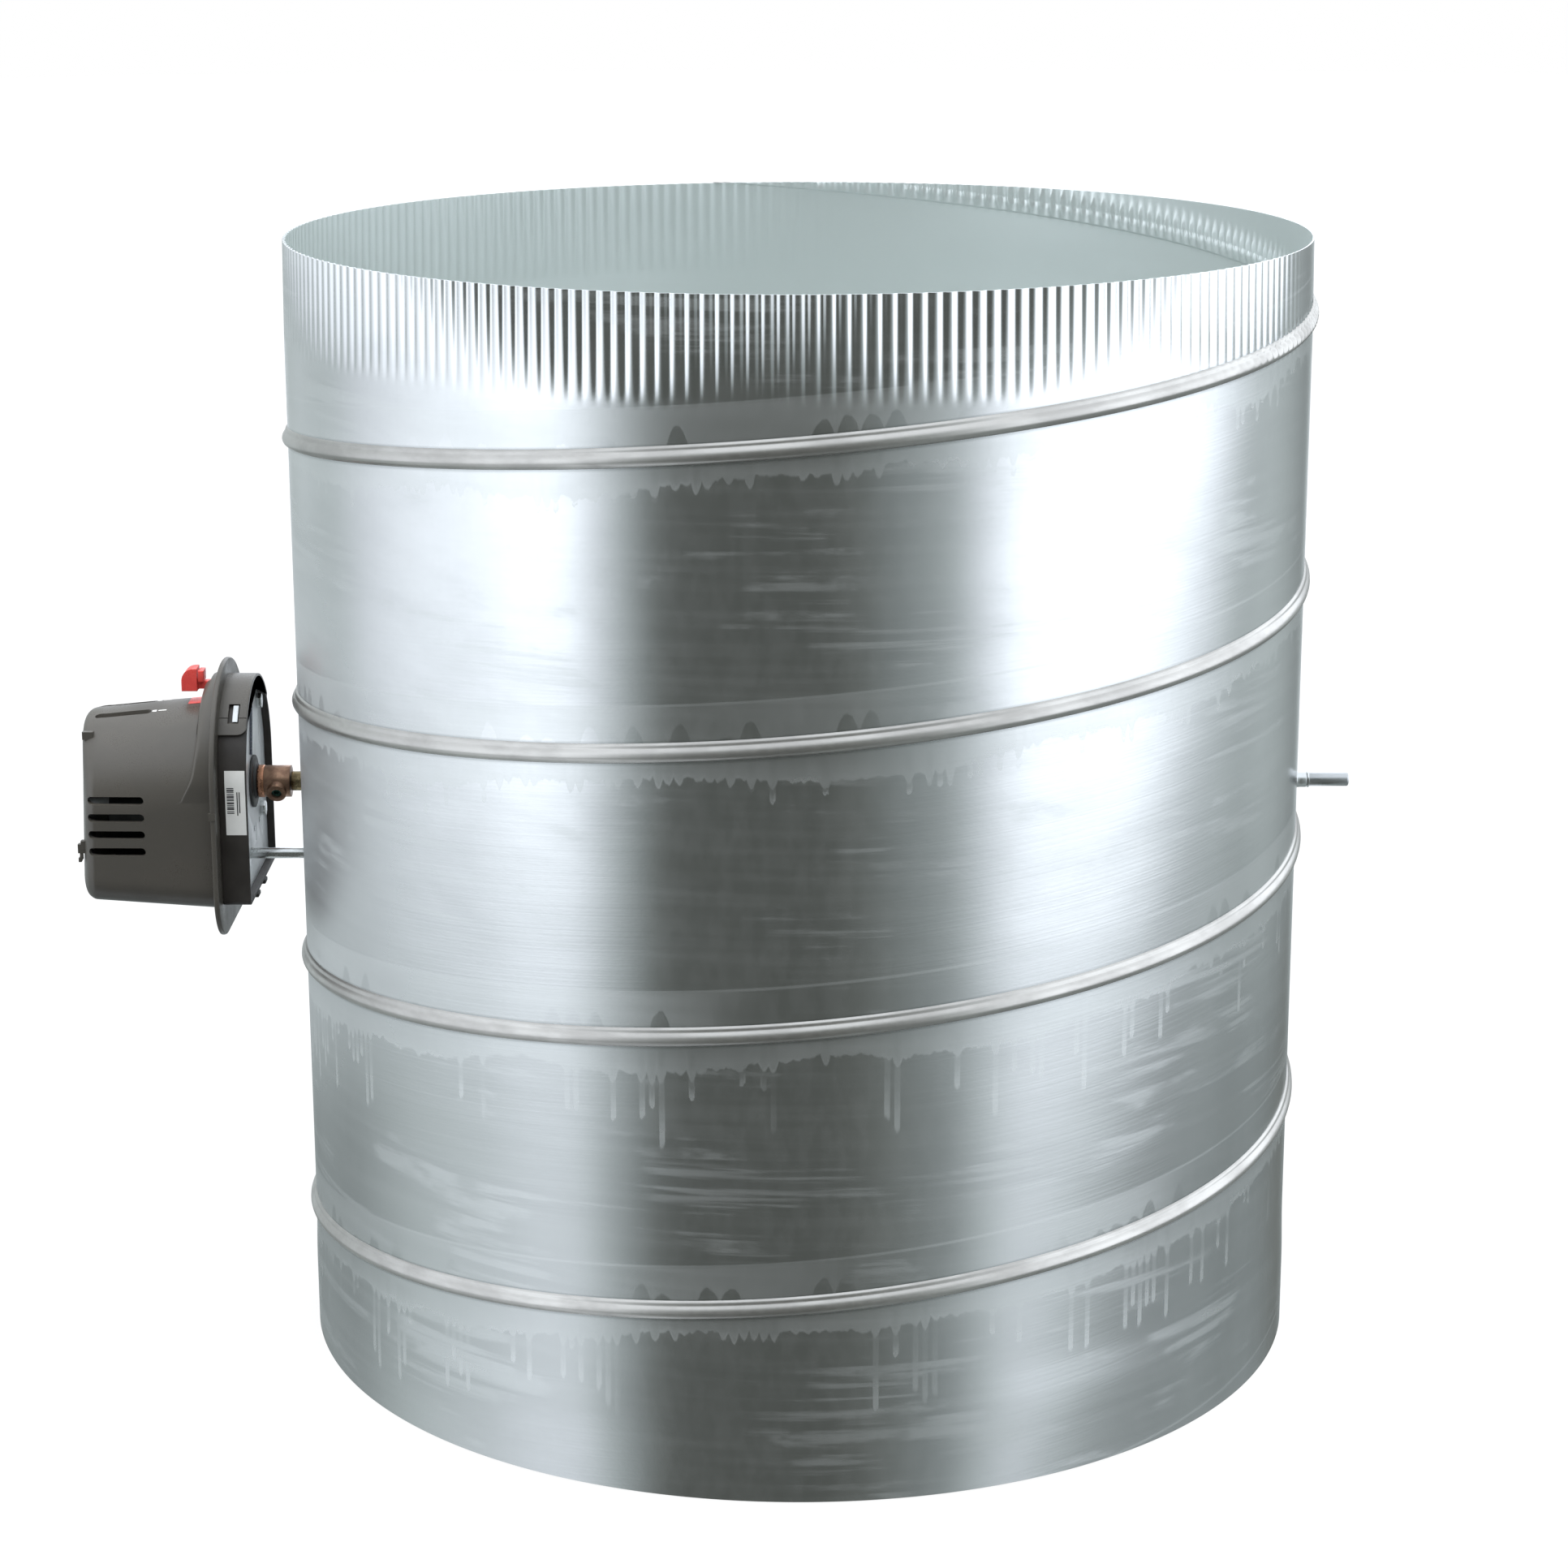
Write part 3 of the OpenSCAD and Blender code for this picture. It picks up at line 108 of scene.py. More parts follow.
# A small wrapper that writes node trees. An input named _0 is the node's first one
class Tree:
    def __init__(self, tree):
        self.tree = tree
        tree.nodes.clear()

    def node(self, kind, **inputs):
        n = self.tree.nodes.new("ShaderNode" + kind)
        for key, value in inputs.items():
            self.put(n.inputs[int(key[1:]) if key[0] == "_" else key.replace("_", " ")], value)
        return n

    def put(self, socket, value):
        if isinstance(value, bpy.types.NodeSocket):
            self.tree.links.new(value, socket)
        elif isinstance(value, (tuple, list)) and len(value) == 3 and socket.type == "RGBA":
            socket.default_value = (*value, 1)
        else:
            socket.default_value = value

    def math(self, op, a, b=0.0, c=0.0, clamp=False):
        n = self.node("Math")
        n.operation, n.use_clamp = op, clamp
        for i, v in enumerate((a, b, c)):
            self.put(n.inputs[i], v)
        return n.outputs[0]

    def ramp(self, value, a, b, low=0.0, high=1.0, kind="SMOOTHSTEP"):
        n = self.node("MapRange", Value=value)
        n.interpolation_type = kind
        for i, v in enumerate((a, b, low, high)):
            self.put(n.inputs[i + 1], v)
        return n.outputs[0]

    def mix(self, factor, a, b):
        n = self.node("Mix")
        n.data_type = "RGBA"
        self.put(n.inputs[0], factor)
        self.put(n.inputs[6], a)
        self.put(n.inputs[7], b)
        return n.outputs[2]

    def split(self, vector):
        n = self.node("SeparateXYZ", Vector=vector)
        return n.outputs[0], n.outputs[1], n.outputs[2]

    def join(self, x, y, z):
        return self.node("CombineXYZ", _0=x, _1=y, _2=z).outputs[0]

    def place(self):
        return self.node("TexCoord").outputs["Object"]

    def noise(self, vector, scale, detail=3.0, rough=0.55):
        n = self.node("TexNoise", Vector=vector, Scale=scale, Detail=detail, Roughness=rough)
        return n.outputs[0]

    def scaled(self, vector, x, y, z):
        n = self.node("VectorMath", _0=vector, _1=(x, y, z))
        n.operation = "MULTIPLY"
        return n.outputs[0]

    # Upright columns round the duct: a hump across each one and two chance numbers for it
    def columns(self, turn, row, count, step):
        place = self.math("MULTIPLY", turn, count)
        across = self.math("MULTIPLY_ADD", self.math("FRACT", place), 2.0, -1.0)
        hump = self.math("SUBTRACT", 1.0, self.math("MULTIPLY", across, across))
        number = self.math("MULTIPLY_ADD", row, step, self.math("FLOOR", place))
        picks = []
        for shift in (0.5, 7919.5):
            n = self.node("TexWhiteNoise")
            n.noise_dimensions = "1D"
            self.put(n.inputs["W"], self.math("ADD", number, shift))
            picks.append(n.outputs["Value"])
        return hump, picks[0], picks[1]

    def bump(self, height, distance):
        return self.node("Bump", Height=height, Distance=distance, Strength=1.0).outputs[0]

    # 1 where a surface of the duct looks towards its axis
    def looks_inwards(self, limit):
        x, y, z = self.split(self.place())
        normal = self.split(self.node("TexCoord").outputs["Normal"])
        along_x = self.math("MULTIPLY", normal[0], x)
        facing = self.math("ADD", along_x, self.math("MULTIPLY", normal[1], y))
        return self.math("LESS_THAN", facing, limit)


# A new material with one shader. SLOTS gives it its name
def material(**inputs):
    m = bpy.data.materials.new("finish")
    m.use_nodes = True
    t = Tree(m.node_tree)
    shader = t.node("BsdfPrincipled", **inputs)
    out = t.node("OutputMaterial")
    t.put(out.inputs[0], shader.outputs[0])
    return m, t, shader


# Colour patches, streaks and a fine grain over a base colour
def finish(colour, other, roughness, metallic=0.0, grain=900.0, patch=40.0,
           stretch=(1, 1, 1), bump=0.00002, spread=0.1):
    m, t, s = material(Metallic=metallic)
    p = t.scaled(t.place(), *stretch)
    large = t.noise(p, patch, 5.0, 0.6)
    fine = t.noise(p, grain, 2.0, 0.5)
    t.put(s.inputs["Base Color"], t.mix(t.ramp(large, 0.38, 0.62), colour, other))
    mixed = t.math("ADD", t.math("MULTIPLY", large, 0.6), t.math("MULTIPLY", fine, 0.4))
    t.put(s.inputs["Roughness"], t.ramp(mixed, 0.35, 0.65, roughness - spread, roughness + spread))
    t.put(s.inputs["Normal"], t.bump(fine, bump))
    return m


# Colours of the galvanised sheet: pale stains, painted shade beside the seam that is partly dirt, and the
# painted light of the duct's inside
STAIN, SEAM_SHADE_AND_DIRT, INSIDE_PAINTED_LIGHT = (0.74, 0.77, 0.76), (0.2, 0.22, 0.22), (0.67, 0.72, 0.71)


# Galvanised sheet. Below each seam a scalloped wash runs into drips, above it a band of lobes stands
# on a rolled line, and pale blotches and streaks lie between. The distances from the seam are in mm
def sheet_material(colour, dull, roughness):
    m, t, s = material()
    p = t.place()
    x, y, z = t.split(p)
    # Turns round the duct, and the distance below and above the nearest seams
    turn = t.math("DIVIDE", t.math("ARCTAN2", y, x), 2 * pi)
    lead = t.math("ADD", t.math("DIVIDE", t.math("SUBTRACT", SEAM_Z0 / 1000, z), PITCH / 1000), turn)
    below = t.math("MULTIPLY", t.math("FRACT", lead), PITCH)
    above = t.math("SUBTRACT", PITCH, below)
    seam = t.math("MULTIPLY_ADD", below, 0.001, z)
    # Noise that changes along the seam alone, and the number of the seam's turn
    cells = t.join(x, y, t.math("MULTIPLY", seam, 3.0))
    slow = t.noise(cells, 10.0, 1.0, 0.5)
    small = t.noise(cells, 210.0, 3.0, 0.6)
    round_no = t.math("FLOOR", lead)
    # The wash below the seam, its ragged edge and the pale rim of that edge
    tooth, tooth_pick, other_pick = t.columns(turn, round_no, 340.0, 613.0)
    edge = t.math("ADD", t.ramp(slow, 0.3, 0.7, 6.5, 13.5), t.math("MULTIPLY", small, 7.0))
    edge = t.math("ADD", edge, t.math("MULTIPLY", tooth, t.ramp(tooth_pick, 0.35, 1.0, 0.0, 5.0)))
    inside_edge = t.math("SUBTRACT", edge, below)
    wash = t.ramp(inside_edge, -0.5, 0.6)
    rim = t.math("MULTIPLY", wash, t.ramp(inside_edge, 0.6, 2.4, 1.0, 0.0))
    rim = t.math("MULTIPLY", rim, t.ramp(t.noise(cells, 45.0, 1.0, 0.5), 0.45, 0.62, 0.0, 0.16))
    wash = t.math("MULTIPLY_ADD", wash, t.ramp(inside_edge, 0.0, 14.0, 0.62, 0.36), rim)
    # Drips under some of the teeth, longest near the duct's foot
    fall = t.ramp(z, 0.17, 0.33, 34.0, 5.0)
    length = t.math("MULTIPLY", fall, t.math("MULTIPLY_ADD", other_pick, 0.9, 0.1))
    reach = t.math("DIVIDE", t.math("SUBTRACT", below, edge), length)
    slim = t.math("MULTIPLY", t.ramp(tooth, 0.55, 0.8), t.math("GREATER_THAN", tooth_pick, 0.6))
    drip = t.math("MULTIPLY", t.ramp(reach, 0.2, 0.9, 0.3, 1.0), t.ramp(reach, 0.94, 1.04, 1.0, 0.0))
    drip = t.math("MULTIPLY", t.math("MULTIPLY", drip, slim), t.ramp(slow, 0.42, 0.52))
    # Lobes on the rolled line above the next seam
    lobe, lobe_pick = t.columns(turn, round_no, 150.0, 271.0)[:2]
    lift = t.math("MULTIPLY", lobe, t.ramp(lobe_pick, 0.35, 0.9, 0.0, 9.0))
    lift = t.math("ADD", t.math("MULTIPLY", small, 5.0), lift)
    foot = t.ramp(t.math("SUBTRACT", above, lift), -0.5, 0.7)
    foot = t.math("MULTIPLY", foot, t.ramp(above, 18.6, 19.4, 1.0, 0.0))
    foot = t.math("MULTIPLY", foot, t.ramp(t.noise(cells, 6.0, 1.0, 0.5), 0.44, 0.58))
    line = t.ramp(t.math("ABSOLUTE", t.math("SUBTRACT", above, 19.4)), 0.3, 0.9, 1.0, 0.0)
    line = t.math("MULTIPLY", line, 0.5)
    # Blotches and streaks, then rolled lines, grain and fine mottling
    clouds = t.noise(t.scaled(p, 1, 1, 3.0), 10.0, 6.0, 0.6)
    streaks = t.noise(t.scaled(p, 1, 1, 30), 8.0, 4.0, 0.55)
    blotch = t.math("MULTIPLY", t.ramp(clouds, 0.52, 0.6), t.ramp(streaks, 0.46, 0.58))
    thin = t.join(t.math("MULTIPLY", x, 1.4), t.math("MULTIPLY", y, 1.4), t.math("MULTIPLY", below, 0.9))
    thin = t.noise(thin, 1.0, 2.0, 0.6)
    grain = t.noise(t.scaled(p, 1, 1, 2.4), 420.0, 2.0, 0.6)
    fine = t.noise(t.scaled(p, 1, 1, 0.4), 160.0, 3.0, 0.6)
    # How pale the surface is, from 0 to 1; the inside shows little of it
    pale = t.math("MAXIMUM", wash, t.math("MULTIPLY", drip, 0.85))
    pale = t.math("MAXIMUM", pale, t.math("MULTIPLY", foot, 0.55))
    pale = t.math("MAXIMUM", pale, line)
    pale = t.math("MAXIMUM", pale, t.math("MULTIPLY", blotch, 0.5))
    pale = t.math("ADD", pale, t.math("MULTIPLY", t.ramp(streaks, 0.4, 0.75), 0.14), clamp=True)
    inner = t.looks_inwards(0.0)
    pale = t.math("MULTIPLY", pale, t.math("SUBTRACT", 1.0, t.math("MULTIPLY", inner, 0.8)))
    base = t.mix(t.ramp(clouds, 0.35, 0.7), colour, dull)
    base = t.mix(t.math("MULTIPLY", pale, 0.5), base, STAIN)
    # Painted shade, partly dirt: thin darker lines under the seam's step and in the crease above it
    seam_shade_and_dirt = t.math("MAXIMUM", t.ramp(below, 4.1, 5.6, 1.0, 0.0), t.ramp(above, 5.4, 4.2))
    base = t.mix(t.math("MULTIPLY", seam_shade_and_dirt, 0.4), base, SEAM_SHADE_AND_DIRT)
    # Surfaces facing the axis take a greener, less metallic copy of the sheet: painted light of the duct's
    # inside
    t.put(s.inputs["Base Color"], t.mix(inner, base, INSIDE_PAINTED_LIGHT))
    worn = t.math("ADD", t.math("MULTIPLY", pale, -0.15), t.ramp(fine, 0.35, 0.7, 1.0, 0.975))
    t.put(s.inputs["Metallic"], t.math("SUBTRACT", worn, t.math("MULTIPLY", inner, 0.3)))
    soft = t.ramp(clouds, 0.3, 0.7, roughness - 0.02, roughness + 0.03, "LINEAR")
    soft = t.math("ADD", soft, t.math("MULTIPLY", pale, 0.1))
    # Duller behind the actuator, so that its reflection stays soft
    far = t.node("VectorMath", _0=p, _1=(-0.2286, -0.03, SHAFT_Z / 1000))
    far.operation = "DISTANCE"
    soft = t.math("ADD", soft, t.ramp(far.outputs[1], 0.08, 0.17, 0.22, 0.0))
    t.put(s.inputs["Roughness"], t.math("ADD", soft, t.math("MULTIPLY", inner, 0.16)))
    waves = t.noise(t.scaled(p, 1, 1, 1.6), 11.0, 2.0, 0.5)
    height = t.math("ADD", t.math("MULTIPLY", thin, 0.2), t.math("MULTIPLY", grain, 0.12))
    height = t.math("ADD", height, t.math("MULTIPLY", waves, 3.8))
    t.put(s.inputs["Normal"], t.bump(height, 0.00006))
    return m


# The seam is bright outside; inside it takes the sheet's painted light tint and is as dull as the sheet
# there
def seam_material():
    m, t, s = material()
    p = t.place()
    inner = t.looks_inwards(-0.02)
    large = t.noise(t.scaled(p, 1, 1, 3), 26.0, 4.0, 0.6)
    fine = t.noise(p, 420.0, 2.0, 0.5)
    base = t.mix(t.ramp(large, 0.38, 0.62), (0.54, 0.53, 0.505), (0.44, 0.43, 0.41))
    # Faces towards the axis take the painted light tint of the duct's inside
    t.put(s.inputs["Base Color"], t.mix(inner, base, INSIDE_PAINTED_LIGHT))
    metal = t.ramp(fine, 0.3, 0.7, 0.95, 0.88)
    t.put(s.inputs["Metallic"], t.math("SUBTRACT", metal, t.math("MULTIPLY", inner, 0.22)))
    soft = t.ramp(large, 0.35, 0.65, 0.29, 0.37)
    t.put(s.inputs["Roughness"], t.math("ADD", soft, t.math("MULTIPLY", inner, 0.04)))
    t.put(s.inputs["Normal"], t.bump(fine, 0.000012))
    return m


# The finish of every material slot in the record
SLOTS = {
    "galvanized_sheet": sheet_material((0.69, 0.705, 0.705), (0.63, 0.645, 0.645), 0.185),
    "galvanized_seam": seam_material(),
    "blade_steel": finish((0.6, 0.63, 0.62), (0.5, 0.53, 0.52), 0.3, 1.0, patch=18),
    "zinc_steel": finish((0.72, 0.74, 0.74), (0.66, 0.68, 0.67), 0.24, 1.0, patch=90, spread=0.04),
    # Painted reflection: the plate is near white and mostly matt, for the white that the zinc reflects
    "zinc_plate": finish((0.93, 0.95, 0.97), (0.9, 0.92, 0.94), 0.34, 0.2, patch=60, spread=0.03),
    "shaft_steel": finish((0.66, 0.68, 0.69), (0.5, 0.52, 0.53), 0.28, 1.0, patch=90,
                          stretch=(0.15, 1, 1)),
    "bush_brass": finish((0.40, 0.32, 0.18), (0.2, 0.16, 0.09), 0.32, 1.0, patch=260),
    "dark_washer": finish((0.05, 0.06, 0.06), (0.1, 0.11, 0.11), 0.45, patch=200),
    "gasket_rubber": finish((0.035, 0.035, 0.035), (0.06, 0.06, 0.058), 0.7),
    "bronze_hub": finish((0.34, 0.21, 0.14), (0.24, 0.145, 0.1), 0.36, 0.9, patch=240, grain=2400),
    "copper_ring": finish((0.62, 0.32, 0.2), (0.45, 0.22, 0.13), 0.32, 1.0, patch=300),
    "set_screw": finish((0.05, 0.16, 0.12), (0.02, 0.05, 0.04), 0.35, 0.6, patch=500),
    # Painted shade: the works' steel is made dark, for the shade inside the housing behind the vents
    "works_steel": finish((0.15, 0.152, 0.155), (0.11, 0.112, 0.115), 0.4, 1.0, patch=90),
    "works_black": finish((0.03, 0.03, 0.03), (0.05, 0.05, 0.05), 0.5),
    "lever_red": finish((0.82, 0.085, 0.07), (0.74, 0.065, 0.055), 0.34, patch=120),
    "cover_plastic": finish((0.08, 0.073, 0.062), (0.072, 0.066, 0.056), 0.36, patch=35, grain=2600,
                            bump=0.00003),
    "case_plastic": finish((0.026, 0.022, 0.019), (0.036, 0.031, 0.027), 0.5, patch=50, grain=2600),
    "label_film": finish((0.78, 0.78, 0.75), (0.74, 0.74, 0.71), 0.45, patch=90),
    "grommet_rubber": finish((0.03, 0.03, 0.03), (0.05, 0.05, 0.05), 0.65),
    "spring_steel": finish((0.2, 0.21, 0.25), (0.12, 0.13, 0.17), 0.3, 1.0),
    "gear_brass": finish((0.66, 0.5, 0.25), (0.52, 0.38, 0.18), 0.3, 1.0, patch=150),
    "coil_copper": finish((0.5, 0.22, 0.1), (0.36, 0.15, 0.07), 0.35, 0.9, patch=300,
                          stretch=(6, 1, 1)),
    "board_green": finish((0.03, 0.2, 0.09), (0.02, 0.13, 0.06), 0.3, patch=220),
    "terminal_green": finish((0.05, 0.25, 0.12), (0.04, 0.2, 0.1), 0.35),
    "capacitor_sleeve": finish((0.04, 0.07, 0.25), (0.03, 0.05, 0.18), 0.25),
}
for slot_name, slot_material in SLOTS.items():
    slot_material.name = slot_name


# Gives every CAD node the material of its slot
def dress_cad_nodes():
    for row in frame["record"]["subparts"]:
        data = NODES[row["node"]].data
        if not data.materials:
            data.materials.append(None)
        for i in range(len(data.materials)):
            data.materials[i] = SLOTS[row["material_slot"]]


# A new piece from points in mm
def piece(name, points, faces, body, slot, nodes, sharp):
    data = bpy.data.meshes.new(name)
    data.from_pydata([(x / 1000, y / 1000, z / 1000) for x, y, z in points], [], faces)
    data.update()
    data.polygons.foreach_set("use_smooth", [True] * len(data.polygons))
    data.set_sharp_from_angle(angle=radians(sharp))
    data.materials.append(SLOTS[slot])
    obj = bpy.data.objects.new(name, data)
    bpy.context.scene.collection.objects.link(obj)
    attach(obj, body)
    if nodes:
        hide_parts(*nodes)


def seam_z(angle):
    return SEAM_Z0 + PITCH * angle / 360


def outer_r(z):
    return BORE_R + WALL + BELL_STEP * (1 - smooth(BELL_LEN - BELL_BLEND, BELL_LEN + BELL_BLEND, z))


# Depth of one crimp round the wall, from 0 to 1
def crimp_wave(angle):
    return (0.5 - 0.5 * cos(radians(CRIMPS * angle))) ** CRIMP_SHARP


# How strong the notches are along the seam, which climbs through the crimps
def seam_teeth(t):
    return smooth(-38, -16, t) if t < 30 else 1 - smooth(98, 103, t)


# How far the crimps and the notches push the wall inwards. Where the seam lies in the crimps they stop
# short of it, and the notches take their place
def crimp_push(angle, z):
    t = (angle + 180) % 360 - 180
    rise = min(1.0, max(0.0, (z - CRIMP_LOW) / (LENGTH - CRIMP_LOW)))
    if rise <= 0:
        return 0.0
    full = 1.0
    if -30 < t < TOOTH_LAST:
        full = max(1 - smooth(-33, -19, t), smooth(82, TOOTH_LAST, t))
    push = full * rise ** CRIMP_POWER * CRIMP_DEPTH
    if TOOTH_FIRST < t < TOOTH_LAST:
        up = z - seam_z(t)
        reach = lerp(2.0, 9.0, smooth(-25, 25, t))
        notch = seam_teeth(t) * smooth(-4, 1, up) * (1 - smooth(3 + reach * 0.3, 4 + reach, up))
        push = max(push, notch * TOOTH_DEPTH)
    return push * crimp_wave(angle) + CRIMP_TAPER * rise


# The duct wall as one closed skin, with the shaft and stud holes, which are given by angle, height,
# radius and sideways offset
def make_wall():
    cols = CRIMPS * 8
    step = 360 / cols
    holes = [(0.0, SHAFT_Z, SHAFT_HOLE_R, 0.0), (180.0, SHAFT_Z, SHAFT_HOLE_R, 0.0),
             (180.0, STUD_Z, STUD_HOLE_R, STUD_Y)]
    z_mid = [60, 80, 100, 120, 140, 160, 180, 200, 216, 230.4, 244, 264, 280, 300, 320, 340, 360, 380,
             400, 420, 440, 455]
    z_top = [462 + 2.3 * i for i in range(20)] + [LENGTH]
    bell_inside = BELL_LEN - WALL
    outside = [0, 12, 24, 30, 36, 40, BELL_LEN, 48, 52] + z_mid + z_top
    inside = [0, 20, 42.9, 43.7, 52] + z_mid + z_top
    points, faces = [], []

    def radius(j, z, inner):
        if inner:
            r = BORE_R + (BELL_STEP if z < bell_inside else 0)
        else:
            r = outer_r(z)
        return r - (crimp_push(j * step, z) if z > z_mid[-1] else 0)

    def add_skin(levels, inner):
        start = len(points)
        for z in levels:
            for j in range(cols):
                r, a = radius(j, z, inner), radians(j * step)
                points.append((r * cos(a), r * sin(a), z))
        skip = set()
        rings = []
        for angle, z, hole_r, offset in holes:
            r = BORE_R if inner else BORE_R + WALL
            lean = degrees(asin(offset / (BORE_R + WALL)))
            centre = (angle + (lean if angle == 0 else -lean)) % 360
            half = degrees((8.2 if hole_r == SHAFT_HOLE_R else 5.6) / (BORE_R + WALL))
            j0 = floor((centre - half) / step)
            j1 = ceil((centre + half) / step)
            low = [k for k, v in enumerate(levels) if v < z - hole_r][-1]
            high = [k for k, v in enumerate(levels) if v > z + hole_r][0]
            for k in range(low, high):
                for j in range(j0, j1):
                    skip.add((k, j % cols))
            loop = [(low, j) for j in range(j0, j1 + 1)] + [(high, j) for j in range(j1, j0 - 1, -1)]
            ids = [start + k * cols + j % cols for k, j in loop]
            first = len(points)
            sense = 1 if angle == 0 else -1
            for k, j in loop:
                dy = sense * (j * step - (centre if j * step - centre < 180 else centre + 360))
                dy = radians(dy) * r
                dz = levels[k] - z
                d = hypot(dy, dz)
                y = offset + hole_r * dy / d
                points.append((sense * sqrt(r * r - y * y), y, z + hole_r * dz / d))
            ring = list(range(first, len(points)))
            rings.append(ring)
            n = len(ids)
            for i in range(n):
                f = (ids[i], ids[(i + 1) % n], ring[(i + 1) % n], ring[i])
                faces.append(f[::-1] if inner else f)
        for k in range(len(levels) - 1):
            for j in range(cols):
                if (k, j) in skip:
                    continue
                a, b = start + k * cols + j, start + k * cols + (j + 1) % cols
                f = (a, b, b + cols, a + cols)
                faces.append(f[::-1] if inner else f)
        return start, start + (len(levels) - 1) * cols, rings

    out_low, out_high, out_rings = add_skin(outside, False)
    in_low, in_high, in_rings = add_skin(inside, True)
    for j in range(cols):
        k = (j + 1) % cols
        faces.append((out_low + k, out_low + j, in_low + j, in_low + k))
        faces.append((out_high + j, out_high + k, in_high + k, in_high + j))
    for ring, other in zip(out_rings, in_rings):
        n = len(ring)
        for i in range(n):
            k = (i + 1) % n
            faces.append((ring[i], ring[k], other[k], other[i]))
    piece("duct_wall", points, faces, "duct", "galvanized_sheet", ["duct_shell"], 40)


# The folded seam: a rolled bead, a groove and a flat lock outside, a flush fold inside. Its outline
# is given by height from the seam's middle and distance from the wall
def make_seam():
    outline = [(4.3, -0.05), (4.0, 0.45), (3.5, 0.85), (2.9, 1.0), (2.4, 1.05), (2.0, 1.3), (1.4, 1.8),
               (0.6, 2.25), (-0.3, 2.53), (-1.2, 2.6), (-2.0, 2.42), (-2.8, 2.0), (-3.4, 1.35), (-3.8, 0.6),
               (-4.05, -0.05), (-3.95, -0.72), (-3.6, -1.05), (-3.0, -1.02), (0.0, -0.86), (3.4, -0.68)]
    m = len(outline)
    turn_per_mm = 360 / PITCH
    first = (SEAM_START - SEAM_Z0) * turn_per_mm
    toothed = TOOTH_FIRST - 2
    last = (LENGTH + outline[0][0] - SEAM_Z0) * turn_per_mm
    plain = ceil((toothed - first) / 0.75)
    angles = [lerp(first, toothed, i / plain) for i in range(plain)]
    fine = ceil((last - toothed) / 0.1875)
    angles += [lerp(toothed, last, i / fine) for i in range(fine + 1)]
    points, faces = [], []
    for angle in angles:
        c, s, z0 = cos(radians(angle)), sin(radians(angle)), seam_z(angle)
        pressed = seam_teeth(angle) * crimp_wave(angle) if angle > toothed else 0.0
        for dz, dr in outline:
            z = min(LENGTH - 0.01, max(0.01, z0 + dz))
            flat = 1 - 0.5 * pressed * smooth(-6, -2, dz) if dr > 0 else 1.0
            r = outer_r(z) + dr * flat - (crimp_push(angle, z) if angle > toothed else 0.0)
            points.append((r * c, r * s, z))
    steps = len(angles) - 1
    for i in range(steps):
        for k in range(m):
            a, b = i * m + k, i * m + (k + 1) % m
            faces.append((a, b, b + m, a + m))
    faces.append(tuple(range(m))[::-1])
    faces.append(tuple(steps * m + k for k in range(m)))
    piece("spiral_seam", points, faces, "duct", "galvanized_seam", ["spiral_lock_seam"], 50)


dress_cad_nodes()
make_wall()
make_seam()

# Housing sizes: s runs outwards from the duct's axis, y across and v upwards from the shaft
FLANGE_FRONT, DOME_END, DOME_FRONT, NOSE_LEAN = 266.0, 322, 332.6, 3.2
DOME_R, DOME_RISE, DOME_LOW, DOME_CORNER = 43, -3, 51.6, 12
CROWN_R, COVER_T = 120.0, 2.0
ARCH_RISE = 7.5
VENT_START, VENT_END = 298.0, 323.4
SIDE_VENTS, SIDE_VENT_H, TOP_VENTS, TOP_VENT_W = (1.5, -6.5, -14.5, -22.5), 3.0, (-10.5, 5.0), 3.2
INLET_S, INLET_Y, INLET_R = 277.5, -16, 4.9
LABEL_Y = -41.36


def at(s, y, v):
    return (-s, y, SHAFT_Z + v)


# The dome's nose leans back towards its top
def nose(s, y, v):
    return at(s - NOSE_LEAN * max(0.0, (v + 50) / 85) * smooth(300, 324, s), y, v)


# Points round an arch: half a circle on top, straight sides and a rounded foot
def arch_ring(r, rise, low, corner):
    ring = [(r * cos(pi * k / 64), rise + r * sin(pi * k / 64)) for k in range(65)]
    ring += [(-r, lerp(rise, corner - low, k / 12)) for k in range(1, 13)]
    turns = [pi * k / 20 for k in range(1, 11)]
    ring += [(corner - r - corner * cos(a), corner - low - corner * sin(a)) for a in turns]
    ring += [(lerp(corner - r, r - corner, k / 14), -low) for k in range(1, 15)]
    ring += [(r - corner + corner * sin(a), corner - low - corner * cos(a)) for a in turns]
    ring += [(r, lerp(corner - low, rise, k / 12)) for k in range(1, 12)]
    return ring


# A closed solid through rings of points
def loft(name, rings):
    m = len(rings[0])
    points = [p for ring in rings for p in ring]
    faces = []
    for i in range(len(rings) - 1):
        for k in range(m):
            a, b = i * m + k, i * m + (k + 1) % m
            faces.append((a, b, b + m, a + m))
    for first in (0, (len(rings) - 1) * m):
        ring = points[first:first + m]
        centre = len(points)
        points.append(tuple(sum(p[i] for p in ring) / m for i in range(3)))
        for k in range(m):
            faces.append((centre, first + (k + 1) % m, first + k))
    return solid(name, points, faces)


# A closed solid from points in mm, with its faces turned outwards
def solid(name, points, faces):
    data = bpy.data.meshes.new(name)
    data.from_pydata([(x / 1000, y / 1000, z / 1000) for x, y, z in points], [], faces)
    bm = bmesh.new()
    bm.from_mesh(data)
    bmesh.ops.recalc_face_normals(bm, faces=bm.faces)
    bm.to_mesh(data)
    bm.free()
    obj = bpy.data.objects.new(name, data)
    bpy.context.scene.collection.objects.link(obj)
    return obj


